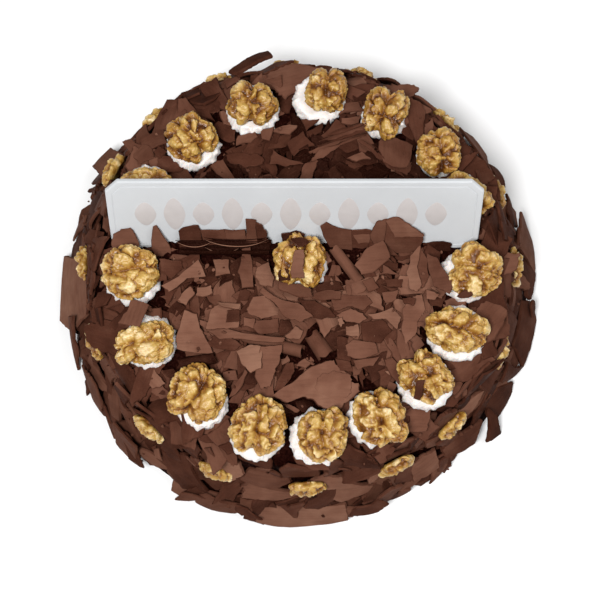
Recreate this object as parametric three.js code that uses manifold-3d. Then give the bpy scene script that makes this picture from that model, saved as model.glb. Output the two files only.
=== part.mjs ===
// A round chocolate cake coated in chocolate shards. Sixteen walnut halves on piped cream stand in a
// ring round one in the middle, sixteen more walnut pieces are pressed into the side, and a white
// chocolate plaque leans back across the top. Scrolls and a large plate of chocolate lie on top.
// Millimetres, +Z up. The origin is the centre of the flat underside, and the plaque faces -Y.
import * as THREE from "three";
import { mergeVertices } from "three/addons/utils/BufferGeometryUtils.js";
import Module from "manifold-3d";

const wasm = await Module();
wasm.setup();

const { cos, sin, PI, sqrt, abs, pow } = Math;
const DEG = PI / 180;

// Sizes of the bare cake
const TOP_Z = 68;
const TOP_RADIUS = 105;
const WAIST_RADIUS = 110;
const FOOT_RADIUS = 129;
const CAKE_SEGMENTS = 36;
const SIDE_UNEVENNESS = 1.1;

// The bed of crumbs that lies on the top, inside the ring of walnuts
const BED_RADIUS = 74;
const BED_HEIGHT = 3;

// Sizes of what lies on it
const CREAM_RADIUS = 14.8;
const CREAM_HEIGHT = 8;
const NUT_HEIGHT = 12.5;
const SIDE_NUT = { length: 23, width: 18, height: 8, z: 45 };
const SHARD_THICKNESS = 1.8;
const SIDE_SHARD_THICKNESS = 2;
const BIG_SHARD_THICKNESS = 2.4;
const BIG_SHARD_BOW = 1.5;
const LARGE_SHARD_LIFT = 1.8;
const LARGE_SHARD_LEAN = 85;
const CRUMBS_SUNK = 4;
const SHARD_LOWEST_Z = 0.4;
const CLEARANCE = 0.4;

const PLAQUE = { length: 193, height: 46.3, thickness: 3, chamfer: 6.5, lean: 58, x: -2.3, y: 9, sunk: 1.5 };

// The ring of walnuts on top, counter clockwise from the left end of the plaque: bearing from the
// centre in degrees, distance from it, heading of the long side, length and width, and how far the
// cream lies off the nut. The last one is in the middle of the cake, on a smaller rosette.
const TOP_NUTS = [
  { bearing: 185.4, reach: 88.2, heading: 4, length: 33, width: 29, cream: [1.5, -2.2] },
  { bearing: 210.4, reach: 92.3, heading: 16, length: 34, width: 23, cream: [2.5, 2.4] },
  { bearing: 234.5, reach: 88.9, heading: 62, length: 35, width: 30, cream: [1.4, -3.4] },
  { bearing: 256.8, reach: 92.6, heading: 74, length: 34, width: 30, cream: [-0.4, -1.6] },
  { bearing: 277.6, reach: 93.9, heading: 92, length: 31, width: 25, cream: [-3.4, -0.4] },
  { bearing: 296.0, reach: 94.2, heading: 108, length: 36, width: 26, cream: [-2.6, 0.8] },
  { bearing: 315.6, reach: 90.3, heading: 128, length: 31, width: 25, cream: [0.6, -2.4] },
  { bearing: 334.3, reach: 89.7, heading: 164, length: 34, width: 25, cream: [0.8, -0.9], creamRadius: 15.8 },
  { bearing: 355.4, reach: 91.2, heading: 172, length: 34, width: 29, cream: [-3.0, -1.6] },
  { bearing: 20.3, reach: 93.3, heading: -35, length: 29, width: 22, cream: [-1.6, 1.4], creamRadius: 13 },
  { bearing: 36.9, reach: 92.8, heading: 100, length: 28, width: 25, cream: [-0.4, 1.0], creamRadius: 12 },
  { bearing: 60.0, reach: 91.2, heading: 68, length: 31, width: 24, cream: [-0.4, -0.6], creamRadius: 12.6 },
  { bearing: 80.9, reach: 92.4, heading: 88, length: 28, width: 23, cream: [-4.0, -2.8] },
  { bearing: 106.9, reach: 86.9, heading: 84, length: 28, width: 27, cream: [0.2, -0.7] },
  { bearing: 131.9, reach: 85.4, heading: 128, length: 29, width: 27, cream: [0.9, -0.7] },
  { bearing: 156.3, reach: 88.4, heading: 8, length: 31, width: 26, cream: [0.8, 1.5] },
  { bearing: 290.0, reach: 2.6, heading: 84, length: 33, width: 27, cream: [2.6, -1.9], creamRadius: 11.6 },
];

// Bearings of the walnut pieces in the side, starting at the left end of the plaque.
const SIDE_NUT_BEARINGS = [
  178, 200, 227, 248, 272, 296, 314, 337, 1, 22, 46, 73, 93, 113, 133, 151,
];

// Scrolls of chocolate on top: middle, heading of the axis, length, outer radius, how much of the turn
// is closed, in degrees, and which way they open.
const SCROLLS = [
  { name: "scroll_by_plaque", x: -38.5, y: 5.8, heading: 0, length: 48, radius: 4.4, turn: 250, opens: "up" },
  { name: "scroll_front", x: -14, y: -45.6, heading: -17, length: 34, radius: 3.6, turn: 260, opens: "down" },
  { name: "scroll_front_left", x: -53, y: -54.6, heading: 10, length: 21, radius: 3.2, turn: 240, opens: "down" },
  { name: "scroll_right", x: 25, y: -3.6, heading: -55, length: 24, radius: 3.4, turn: 220, opens: "down" },
  { name: "scroll_front_right", x: 10.2, y: -46.2, heading: -57, length: 15, radius: 5, turn: 200, opens: "down" },
];
const SCROLL_WALL = 1.3;
const SCROLL_STEPS = 7;
const FRONT_PLATE = { x: 10, y: -64.8, lift: 3.8, bow: 2.4, halfLength: 23 };
const FRONT_PLATE_CORNERS = [
  [-24, -7.7],
  [-16.3, -11.4],
  [-8.6, -8.6],
  [-3.1, -10],
  [1, -13.6],
  [6.5, -15.2],
  [11.4, -14.6],
  [15.5, -11],
  [21.3, -5.4],
  [21, -1.2],
  [17.2, -0.6],
  [16.6, 3.3],
  [8.9, 8.6],
  [8.2, 10.9],
  [3.9, 10.2],
  [-3.8, 7.3],
  [-10, 2.6],
  [-16.3, -2.4],
];

// How many shards cover each part of the cake, and where they lie on its side.
const TOP_SHARDS = 36;
const RIM_SHARDS = 15;
const SIDE_ROWS = [
  { z: 58, count: 11, lean: 14, length: 27 },
  { z: 40, count: 12, lean: 20, length: 32 },
  { z: 22, count: 13, lean: 30, length: 33 },
  { z: 9, count: 13, lean: 36, length: 28 },
];
const GOLDEN_ANGLE = PI * (3 - sqrt(5));
const SHARD_SEED = 20;

// Outlines of shards, one long and one wide.
const OUTLINES = {
  slab: [[-0.5, -0.3], [0.28, -0.5], [0.5, -0.12], [0.4, 0.42], [-0.3, 0.5]],
  quad: [[-0.5, -0.34], [0.4, -0.5], [0.5, 0.3], [0.1, 0.5], [-0.4, 0.44]],
  wedge: [[-0.5, -0.42], [0.12, -0.36], [0.5, -0.04], [0.48, 0.08], [-0.4, 0.5]],
  lens: [[-0.5, 0.02], [-0.26, -0.3], [0.05, -0.42], [0.34, -0.26], [0.5, 0.04], [0.2, 0.32], [-0.15, 0.36]],
  strip: [[-0.5, -0.34], [0.0, -0.5], [0.5, -0.3], [0.46, 0.42], [0.0, 0.46], [-0.45, 0.34]],
  fan: [[-0.5, -0.1], [0.12, -0.5], [0.5, -0.3], [0.42, 0.26], [0.16, 0.5], [-0.42, 0.16]],
};

// Shards that stand out on the side: bearing, height, how far off the side, how far the face leans back
// from the upright, turn of the long side in the face, length, width and outline.
const BIG_SHARDS = [
  [50, 14, 4.5, 32, 8, 34, 22, "slab"],
  [62, 42, 4, 28, 80, 28, 18, "quad"],
  [74, 13, 4.5, 32, 170, 38, 20, "quad"],
  [88, 44, 4, 30, 100, 26, 15, "wedge"],
  [97, 14, 4.5, 32, 5, 36, 22, "slab"],
  [103, 64, 11, 50, 28, 28, 9, "strip"],
  [118, 42, 4, 28, 75, 30, 18, "fan"],
  [122, 13, 4.5, 32, 12, 32, 22, "fan"],
  [148, 24, 9, 48, 80, 30, 20, "quad"],
  [160, 42, 4, 26, 70, 30, 18, "wedge"],
  [182, 20, 6.5, 34, 5, 48, 38, "slab"],
  [206, 22, 4, 28, 27, 27, 18, "wedge"],
  [215, 22, 4, 28, 121, 25, 11, "strip"],
  [215, 50, 4, 26, 98, 24, 14, "slab"],
  [231, 59, 4, 40, 170, 30, 9, "strip"],
  [233, 35, 4, 28, 137, 24, 11, "strip"],
  [239.6, 22, 4.5, 30, 136, 32, 21, "quad"],
  [249.5, 51, 4.5, 34, 8, 24, 17, "slab"],
  [261, 46, 3, 30, 5, 28, 15, "slab"],
  [262.4, 30, 4, 30, 7, 33, 17, "wedge"],
  [270.7, 12, 4.5, 32, 0, 52, 21, "strip"],
  [278, 45, 4.5, 36, 175, 25, 15, "lens"],
  [283, 28, 4, 30, 170, 27, 18, "fan"],
  [287, 55, 4, 42, 10, 26, 16, "slab"],
  [290.5, 43, 4.5, 32, 60, 21, 9, "lens"],
  [292.5, 17, 4, 30, 90, 23, 11, "wedge"],
  [303.5, 22, 4.5, 32, 5, 20, 20, "quad"],
  [315.5, 17, 4.5, 32, 156, 31, 17, "slab"],
  [319.4, 42, 5, 34, 172, 33, 13, "lens"],
  [323.5, 8, 7, 36, 68, 24, 12, "wedge"],
  [330, 10, 4, 30, 150, 28, 22, "fan"],
  [332, 45, 4, 36, 92, 28, 23, "quad"],
  [345, 41, 4, 26, 90, 36, 27, "quad"],
  [348, 12, 5.5, 32, 0, 38, 24, "slab"],
  [354.5, 40, 5, 24, 32, 17, 9, "wedge"],
  [2, 12, 5.5, 32, 5, 26, 23, "fan"],
  [10, 46, 4, 26, 80, 30, 18, "slab"],
  [30, 8, 6, 34, 163, 17, 12, "quad"],
  [36, 40, 4, 30, 75, 28, 15, "fan"],
];
// How far apart, along the side, a shard of the rows and one that stands out are at least.
const BIG_SHARD_SPACING = 13;

// Shards that stand out on top: place, heading, length, width and outline.
const LARGE_TOP_SHARDS = [
  [-28, -6, 94, 23, 7, "strip"],
  [-17, -10, 80, 18, 10, "wedge"],
  [-6, -27, -36, 33, 8, "lens"],
  [-19, -28, 20, 20, 13, "slab"],
  [-22, -58, -20, 26, 20, "slab"],
  [28, -35, 60, 17, 12, "slab"],
  [28, -25, 0, 21, 9, "slab"],
  [41, 0, 33, 22, 13, "slab"],
  [57, -38, -70, 19, 13, "wedge"],
  [48, -57, -53, 24, 8, "strip"],
  [-54, -41, 75, 23, 16, "slab"],
  [-57, -13, 30, 30, 14, "wedge"],
  [62, -7, 105, 27, 13, "lens"],
  [73, -9, 110, 22, 13, "slab"],
  [-28, 53, -8, 20, 10, "lens"],
  [22, 64, 22, 30, 10, "strip"],
  [51, 58, 85, 20, 18, "quad"],
];

// Draws between 0 and 1 that repeat for the same seed.
function makeDraw(seed) {
  let state = seed;
  return () => {
    state = (Math.imul(state, 1664525) + 1013904223) >>> 0;
    return state / 4294967296;
  };
}

// Closed solids and their meshes

function toSolid(geometry, matrix = new THREE.Matrix4()) {
  const bare = new THREE.BufferGeometry().setAttribute("position", geometry.getAttribute("position").clone());
  bare.setIndex(geometry.getIndex());
  bare.applyMatrix4(matrix);
  const merged = mergeVertices(bare, 1e-4);
  const corners = merged.getIndex().array;
  const kept = [];
  for (let i = 0; i < corners.length; i += 3) {
    const [a, b, c] = corners.slice(i, i + 3);
    if (a !== b && b !== c && c !== a) kept.push(a, b, c);
  }
  const vertProperties = merged.getAttribute("position").array;
  return new wasm.Manifold(new wasm.Mesh({ numProp: 3, vertProperties, triVerts: new Uint32Array(kept) }));
}

function toGeometry(solid) {
  const { vertProperties, triVerts } = solid.getMesh();
  return new THREE.BufferGeometry()
    .setAttribute("position", new THREE.BufferAttribute(vertProperties, 3))
    .setIndex(new THREE.BufferAttribute(triVerts, 1));
}

// Closes a stack of rings, each an array of as many points, with a fan below the first ring and
// another above the last.
function stackRings(rings, bottom, top) {
  const segments = rings[0].length;
  const points = [bottom, ...rings.flat(), top];
  const index = [];
  const at = (ring, k) => 1 + ring * segments + (k % segments);
  for (let k = 0; k < segments; k++) {
    index.push(0, at(0, k + 1), at(0, k));
    index.push(points.length - 1, at(rings.length - 1, k), at(rings.length - 1, k + 1));
    for (let ring = 0; ring + 1 < rings.length; ring++) {
      index.push(at(ring, k), at(ring, k + 1), at(ring + 1, k + 1));
      index.push(at(ring, k), at(ring + 1, k + 1), at(ring + 1, k));
    }
  }
  return new THREE.BufferGeometry()
    .setAttribute("position", new THREE.Float32BufferAttribute(points.flat(), 3))
    .setIndex(index);
}

// The bare cake

const SIDE_PROFILE = [
  [FOOT_RADIUS, 0],
  [FOOT_RADIUS, 4],
  [0.6 * FOOT_RADIUS + 0.4 * WAIST_RADIUS, 18],
  [WAIST_RADIUS + 3.5, 34],
  [WAIST_RADIUS, 48],
  [WAIST_RADIUS - 1.5, 59],
  [TOP_RADIUS, TOP_Z - 2.5],
  [TOP_RADIUS - 6, TOP_Z],
];

function sideRadius(z) {
  for (let i = 1; i < SIDE_PROFILE.length; i++) {
    const [lowRadius, lowZ] = SIDE_PROFILE[i - 1];
    const [highRadius, highZ] = SIDE_PROFILE[i];
    if (z <= highZ) return lowRadius + ((z - lowZ) / (highZ - lowZ)) * (highRadius - lowRadius);
  }
  return TOP_RADIUS;
}

// How far the hand-spread coating stands in or out of the true round at a bearing.
function unevenness(angle, z) {
  return SIDE_UNEVENNESS * (sin(3 * angle + z / 30) + 0.6 * sin(7 * angle + 1.3 - z / 20)) * 0.6;
}

function bedHeight(radius) {
  return radius < BED_RADIUS - 2 ? BED_HEIGHT : 0;
}

function crumbBed() {
  const profile = [
    [0, TOP_Z - 2],
    [BED_RADIUS, TOP_Z - 2],
    [BED_RADIUS, TOP_Z],
    [BED_RADIUS - 4, TOP_Z + BED_HEIGHT],
    [0, TOP_Z + BED_HEIGHT],
  ].map(([r, z]) => new THREE.Vector2(r, z));
  return toSolid(new THREE.LatheGeometry(profile, CAKE_SEGMENTS).rotateX(PI / 2));
}

function bareCake() {
  const profile = [[0, 0], ...SIDE_PROFILE, [0, TOP_Z]].map(([r, z]) => new THREE.Vector2(r, z));
  const lathe = new THREE.LatheGeometry(profile, CAKE_SEGMENTS).rotateX(PI / 2);
  const place = lathe.getAttribute("position");
  for (let i = 0; i < place.count; i++) {
    const [x, y, z] = [place.getX(i), place.getY(i), place.getZ(i)];
    const radius = Math.hypot(x, y);
    if (radius < TOP_RADIUS - 10) continue;
    const scale = 1 + unevenness(Math.atan2(y, x), z) / radius;
    place.setXYZ(i, x * scale, y * scale, z);
  }
  return toSolid(lathe);
}

// Walnuts and cream

// Half a kernel, flat side down: two lobes either side of a groove along X, with a notch at each
// end of it and folds round its edge. plain leaves the groove and folds out, for its envelope.
function nutGeometry({ length, width, height, segments, seed, plain = false }) {
  const draw = makeDraw(seed);
  const levels = [
    { spread: 0.86, z: 0, groove: 0 },
    { spread: 1.0, z: 0.34, groove: 0 },
    { spread: 0.88, z: 0.74, groove: 0.3 },
    { spread: 0.54, z: 1.0, groove: 0.4 },
  ];
  const rings = levels.map((level, ring) => {
    return Array.from({ length: segments }, (_, k) => {
      const angle = (k / segments) * 2 * PI;
      const fold = plain ? 1 : 1 - (0.02 + 0.07 * draw()) * (1 + cos(PI * k));
      const notch = plain ? 0 : 0.14 * pow(abs(cos(angle)), 14);
      const groove = plain ? 0 : level.groove * pow(abs(cos(angle)), 4);
      const lump = plain || ring < 2 ? 1 : 0.86 + 0.14 * draw();
      const spread = level.spread * fold * (1 - notch);
      return [
        (length / 2) * spread * cos(angle),
        (width / 2) * spread * sin(angle),
        height * level.z * (1 - groove) * lump,
      ];
    });
  });
  return stackRings(rings, [0, 0, 0], [0, 0, height * (plain ? 1 : 0.62)]);
}

// A rosette piped with a star nozzle, with a flat middle that the nut sits on.
function creamGeometry(radius, height, flute) {
  const segments = 14;
  const levels = [
    { spread: 0.97, z: 0 },
    { spread: 1.03, z: 0.5 },
    { spread: 0.74, z: 1 },
  ];
  const rings = levels.map((level) =>
    Array.from({ length: segments }, (_, k) => {
      const angle = (k / segments) * 2 * PI;
      const spread = radius * level.spread * (1 - (k % 2 ? flute : 0));
      return [spread * cos(angle), spread * sin(angle), height * level.z];
    }),
  );
  return stackRings(rings, [0, 0, 0], [0, 0, height]);
}

function creamRadius(nut) {
  return nut.creamRadius ?? CREAM_RADIUS;
}

function topNutPlace({ bearing, reach }) {
  return [reach * cos(bearing * DEG), reach * sin(bearing * DEG)];
}

function topNutMatrix(nut) {
  const [x, y] = topNutPlace(nut);
  return new THREE.Matrix4().makeTranslation(x, y, TOP_Z + CREAM_HEIGHT).multiply(
    new THREE.Matrix4().makeRotationZ(nut.heading * DEG),
  );
}

function creamMatrix(nut) {
  const [x, y] = topNutPlace(nut);
  return new THREE.Matrix4().makeTranslation(x + nut.cream[0], y + nut.cream[1], TOP_Z);
}

// The nut lies with its back to the side of the cake and its long side level.
function sideNutMatrix(bearing) {
  const angle = bearing * DEG;
  const out = new THREE.Vector3(cos(angle), sin(angle), 0);
  const level = new THREE.Vector3(-sin(angle), cos(angle), 0);
  const reach = sideRadius(SIDE_NUT.z - SIDE_NUT.width / 2) + SIDE_UNEVENNESS + CLEARANCE;
  return new THREE.Matrix4()
    .makeBasis(level, new THREE.Vector3(0, 0, 1), out)
    .setPosition(out.x * reach, out.y * reach, SIDE_NUT.z);
}

// The plaque

// Its own frame: X along it, Y up its face and Z out of the face.
function plaqueMatrix() {
  const lean = PLAQUE.lean * DEG;
  return new THREE.Matrix4()
    .makeBasis(
      new THREE.Vector3(1, 0, 0),
      new THREE.Vector3(0, cos(lean), sin(lean)),
      new THREE.Vector3(0, -sin(lean), cos(lean)),
    )
    .setPosition(PLAQUE.x, PLAQUE.y, TOP_Z);
}

function plaqueGeometry(grow) {
  const { length, height, chamfer, thickness, sunk } = PLAQUE;
  const [right, top, bottom] = [length / 2 + grow, height - sunk + grow, -sunk - grow];
  const outline = new THREE.Shape([
    new THREE.Vector2(-right + chamfer, bottom),
    new THREE.Vector2(right - chamfer, bottom),
    new THREE.Vector2(right, bottom + chamfer),
    new THREE.Vector2(right, top - chamfer),
    new THREE.Vector2(right - chamfer, top),
    new THREE.Vector2(-right + chamfer, top),
    new THREE.Vector2(-right, top - chamfer),
    new THREE.Vector2(-right, bottom + chamfer),
  ]);
  const depth = thickness + 2 * grow;
  return new THREE.ExtrudeGeometry(outline, { depth, bevelEnabled: false }).translate(0, 0, -depth / 2);
}

// Scrolls and plates of chocolate

// Where the wall of a scroll starts in its section, and how high its axis lies over its lowest line.
function scrollStart({ turn, opens }) {
  return (opens === "down" ? 90 : 270) - turn / 2;
}

function scrollAxis(scroll) {
  return scroll.opens === "down" ? -scroll.radius * sin(scrollStart(scroll) * DEG) : scroll.radius;
}

// A curled shaving: an open ring in section, with its axis along X and its lowest line near z = 0.
function scrollGeometry(scroll, grow) {
  const { length, radius, turn } = scroll;
  const outer = radius + grow;
  const inner = grow > 0 ? 0 : radius - SCROLL_WALL;
  const sweep = grow > 0 ? 360 : turn;
  const steps = grow > 0 ? 2 * SCROLL_STEPS : SCROLL_STEPS;
  const start = scrollStart(scroll) * DEG;
  const ring = (r, k) => {
    const angle = start + (k / steps) * sweep * DEG;
    return new THREE.Vector2(r * cos(angle), r * sin(angle));
  };
  const outerPoints = Array.from({ length: grow > 0 ? steps : steps + 1 }, (_, k) => ring(outer, k));
  const innerPoints = grow > 0 ? [] : Array.from({ length: steps + 1 }, (_, k) => ring(inner, steps - k));
  const depth = length + 2 * grow;
  return new THREE.ExtrudeGeometry(new THREE.Shape([...outerPoints, ...innerPoints]), {
    depth,
    bevelEnabled: false,
  })
    .translate(0, 0, -depth / 2)
    .rotateY(PI / 2)
    .rotateX(PI / 2)
    .translate(0, 0, scrollAxis(scroll) + CLEARANCE);
}

function scrollMatrix({ x, y, heading }) {
  return new THREE.Matrix4()
    .makeTranslation(x, y, TOP_Z + BED_HEIGHT)
    .multiply(new THREE.Matrix4().makeRotationZ(heading * DEG));
}

// A broken plate of chocolate that bows down towards the ends of its long side. The crumbs packed
// behind it narrow down to the depth given, below its middle.
function plateGeometry(corners, length, bow, thickness, crumbs = thickness / 2) {
  const face = (height) => corners.map(([x, y]) => [x, y, height - bow * pow((2 * x) / length, 2)]);
  const half = thickness / 2;
  return stackRings([face(-half), face(half)], [0, 0, -crumbs], [0, 0, half]);
}

function randomCorners(length, width, count, draw) {
  return Array.from({ length: count }, (_, k) => {
    const angle = ((k + 0.5 * (draw() - 0.5)) / count) * 2 * PI;
    const reach = 0.76 + 0.28 * draw();
    return [(length / 2) * reach * cos(angle), (width / 2) * reach * sin(angle)];
  });
}

function outlineCorners(outline, length, width) {
  return OUTLINES[outline].map(([x, y]) => [x * length, y * width]);
}

// A face that looks along normal, with its long side turned in the face from the level.
function faceMatrix(place, normal, turn) {
  const level = new THREE.Vector3(-normal.y, normal.x, 0).normalize();
  const up = new THREE.Vector3().crossVectors(normal, level);
  const long = level.clone().multiplyScalar(cos(turn)).addScaledVector(up, sin(turn));
  const across = new THREE.Vector3().crossVectors(normal, long);
  return new THREE.Matrix4().makeBasis(long, across, normal).setPosition(place);
}

function shardSolid(geometry, place, normal, turn) {
  return toSolid(geometry, faceMatrix(place, normal, turn));
}

function leaningNormal(angle, lean) {
  return new THREE.Vector3(cos(angle) * cos(lean), sin(angle) * cos(lean), sin(lean));
}

function topShards(draw) {
  return Array.from({ length: TOP_SHARDS }, (_, i) => {
    const reach = (TOP_RADIUS - 6) * sqrt((i + 0.5) / TOP_SHARDS);
    const bearing = i * GOLDEN_ANGLE + 0.2 * draw();
    const length = 13 + 14 * pow(draw(), 1.5);
    const width = length * (0.48 + 0.4 * draw());
    const z = TOP_Z + bedHeight(reach) + 0.2 + 2 * draw();
    const place = new THREE.Vector3(reach * cos(bearing), reach * sin(bearing), z);
    const normal = leaningNormal(2 * PI * draw(), (90 - 7 - 19 * draw()) * DEG);
    const turn = 2 * PI * draw();
    const corners = randomCorners(length, width, 5, draw);
    return shardSolid(plateGeometry(corners, length, 0, SHARD_THICKNESS), place, normal, turn);
  });
}

function largeTopShards() {
  const up = leaningNormal(-PI / 2, LARGE_SHARD_LEAN * DEG);
  const crumbs = LARGE_SHARD_LIFT + CRUMBS_SUNK;
  return LARGE_TOP_SHARDS.map(([x, y, heading, length, width, outline]) => {
    const corners = outlineCorners(outline, length, width);
    const place = new THREE.Vector3(x, y, TOP_Z + bedHeight(Math.hypot(x, y)) + LARGE_SHARD_LIFT);
    return shardSolid(plateGeometry(corners, length, 0, SHARD_THICKNESS, crumbs), place, up, heading * DEG);
  });
}

function rimShards(draw) {
  return Array.from({ length: RIM_SHARDS }, (_, i) => {
    const bearing = ((i + 0.5 * draw()) / RIM_SHARDS) * 2 * PI;
    const length = 18 + 12 * draw();
    const width = length * (0.4 + 0.35 * draw());
    const reach = TOP_RADIUS - 1 + 2 * draw();
    const place = new THREE.Vector3(reach * cos(bearing), reach * sin(bearing), TOP_Z - 3 + 2 * draw());
    const normal = leaningNormal(bearing + 0.5 * (draw() - 0.5), (38 + 34 * draw()) * DEG);
    const turn = (draw() - 0.5) * 1.6;
    const corners = randomCorners(length, width, 5, draw);
    return shardSolid(plateGeometry(corners, length, 0, SIDE_SHARD_THICKNESS), place, normal, turn);
  });
}

function isByBigShard(bearing, z) {
  return BIG_SHARDS.some(([bigBearing, bigZ]) => {
    const turn = abs(bearing - bigBearing * DEG) % (2 * PI);
    const along = Math.min(turn, 2 * PI - turn) * WAIST_RADIUS;
    return Math.hypot(along, z - bigZ) < BIG_SHARD_SPACING;
  });
}

function sideShards(draw) {
  return SIDE_ROWS.flatMap((row, rowNumber) =>
    Array.from({ length: row.count }, (_, i) => {
      const bearing = ((i + 0.5 * (rowNumber % 2) + 0.4 * draw()) / row.count) * 2 * PI;
      const length = row.length * (0.72 + 0.5 * draw());
      const width = length * (0.5 + 0.3 * draw());
      const z = row.z + 6 * (draw() - 0.5);
      const reach = sideRadius(z) + 1.2 + 2.4 * draw();
      const place = new THREE.Vector3(reach * cos(bearing), reach * sin(bearing), z);
      const lean = (row.lean + 14 * (draw() - 0.5)) * DEG;
      const turn = PI * draw();
      const geometry = plateGeometry(randomCorners(length, width, 5, draw), length, 0, SIDE_SHARD_THICKNESS);
      return isByBigShard(bearing, z) ? [] : shardSolid(geometry, place, leaningNormal(bearing, lean), turn);
    }).flat(),
  );
}

function bigShards() {
  return BIG_SHARDS.map(([bearing, z, off, lean, turn, length, width, outline]) => {
    const angle = bearing * DEG;
    const reach = sideRadius(z) + off;
    const place = new THREE.Vector3(reach * cos(angle), reach * sin(angle), z);
    const corners = outlineCorners(outline, length, width);
    const geometry = plateGeometry(corners, length, BIG_SHARD_BOW, BIG_SHARD_THICKNESS, off + CRUMBS_SUNK);
    return shardSolid(geometry, place, leaningNormal(angle, lean * DEG), turn * DEG);
  });
}

// The shape of the air that the toppings need: their envelopes, a little larger than themselves.
function toppingEnvelopes() {
  const grow = CLEARANCE;
  const creams = TOP_NUTS.map((nut) =>
    toSolid(creamGeometry(creamRadius(nut) + 2 * grow, CREAM_HEIGHT + 2 * grow, 0), creamMatrix(nut)),
  );
  const topNuts = TOP_NUTS.map((nut) => {
    const size = { length: nut.length + 2 * grow, width: nut.width + 2 * grow, height: NUT_HEIGHT + grow };
    return toSolid(nutGeometry({ ...size, segments: 16, seed: 1, plain: true }), topNutMatrix(nut));
  });
  const sideNuts = SIDE_NUT_BEARINGS.map((bearing) => {
    const { length, width, height } = SIDE_NUT;
    const size = { length: length + 2 * grow, width: width + 2 * grow, height: height + 3 * grow };
    const nut = nutGeometry({ ...size, segments: 12, seed: 1, plain: true }).translate(0, 0, -2 * grow);
    return toSolid(nut, sideNutMatrix(bearing));
  });
  const scrolls = SCROLLS.map((scroll) => toSolid(scrollGeometry(scroll, grow), scrollMatrix(scroll)));
  const plate = toSolid(frontPlateGeometry(grow), frontPlateMatrix());
  return [...creams, ...topNuts, ...sideNuts, ...scrolls, plate, plaqueEnvelope()];
}

function plaqueEnvelope() {
  return toSolid(plaqueGeometry(CLEARANCE), plaqueMatrix());
}

function frontPlateGeometry(grow) {
  const half = SHARD_THICKNESS / 2 + grow;
  const face = (height) =>
    FRONT_PLATE_CORNERS.map(([x, y]) => {
      const spread = 1 + grow / Math.hypot(x, y);
      return [x * spread, y * spread, height - FRONT_PLATE.bow * pow(x / FRONT_PLATE.halfLength, 2)];
    });
  return stackRings([face(-half), face(half)], [0, 0, -half], [0, 0, half]);
}

function frontPlateMatrix() {
  return new THREE.Matrix4().makeTranslation(
    FRONT_PLATE.x,
    FRONT_PLATE.y,
    TOP_Z + BED_HEIGHT + FRONT_PLATE.lift,
  );
}

// The largest of the bodies that a cut has left, without the loose scraps.
function largestBody(solid) {
  return solid.decompose().reduce((best, body) => (body.volume() > best.volume() ? body : best));
}

function coatedCake() {
  const draw = makeDraw(SHARD_SEED);
  const loose = [...topShards(draw), ...rimShards(draw), ...sideShards(draw)];
  const shards = [...loose, ...largeTopShards(), ...bigShards()];
  const laid = wasm.Manifold.union([crumbBed(), ...shards]);
  const coat = laid.subtract(wasm.Manifold.union(toppingEnvelopes()));
  const floor = toSolid(new THREE.BoxGeometry(400, 400, 100).translate(0, 0, -50));
  const shelf = toSolid(new THREE.BoxGeometry(400, 400, 100).translate(0, 0, SHARD_LOWEST_Z - 50));
  const cake = bareCake().add(coat.subtract(shelf)).subtract(plaqueEnvelope());
  return toGeometry(largestBody(cake.subtract(floor)));
}

// The named pieces

const paint = {
  chocolate: new THREE.MeshStandardMaterial({ color: 0x5a3a2f, roughness: 0.6, metalness: 0 }),
  darkChocolate: new THREE.MeshStandardMaterial({ color: 0x38211d, roughness: 0.45, metalness: 0 }),
  walnut: new THREE.MeshStandardMaterial({ color: 0xbb8c4e, roughness: 0.55, metalness: 0 }),
  cream: new THREE.MeshStandardMaterial({ color: 0xf4efec, roughness: 0.6, metalness: 0 }),
  whiteChocolate: new THREE.MeshStandardMaterial({ color: 0xe4e2e4, roughness: 0.4, metalness: 0 }),
};

const cake = new THREE.Group();

function addPiece(name, geometry, material, matrix = new THREE.Matrix4()) {
  const mesh = new THREE.Mesh(geometry, material);
  mesh.name = name;
  mesh.applyMatrix4(matrix);
  cake.add(mesh);
}

const twoDigits = (i) => String(i + 1).padStart(2, "0");

addPiece("cake", coatedCake(), paint.chocolate);
addPiece("plaque", plaqueGeometry(0), paint.whiteChocolate, plaqueMatrix());

TOP_NUTS.forEach((nut, i) => {
  const cream = creamGeometry(creamRadius(nut), CREAM_HEIGHT, 0.09);
  addPiece("cream_" + twoDigits(i), cream, paint.cream, creamMatrix(nut));
  const { length, width } = nut;
  const kernel = nutGeometry({ length, width, height: NUT_HEIGHT, segments: 16, seed: 11 + i });
  addPiece("walnut_" + twoDigits(i), kernel, paint.walnut, topNutMatrix(nut));
});

SIDE_NUT_BEARINGS.forEach((bearing, i) => {
  const { length, width, height } = SIDE_NUT;
  const piece = nutGeometry({ length, width, height, segments: 10, seed: 71 + i });
  addPiece("side_walnut_" + twoDigits(i), piece, paint.walnut, sideNutMatrix(bearing));
});

SCROLLS.forEach((scroll) => {
  addPiece(scroll.name, scrollGeometry(scroll, 0), paint.darkChocolate, scrollMatrix(scroll));
});
addPiece("plate_front", frontPlateGeometry(0), paint.chocolate, frontPlateMatrix());

export default cake;
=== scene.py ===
"""A round chocolate cake coated in shards, with walnut halves on piped cream and a white chocolate plaque.

Lengths are in millimetres until a mesh is made, in the frame of the CAD model.
"""

import math
from functools import partial

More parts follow.
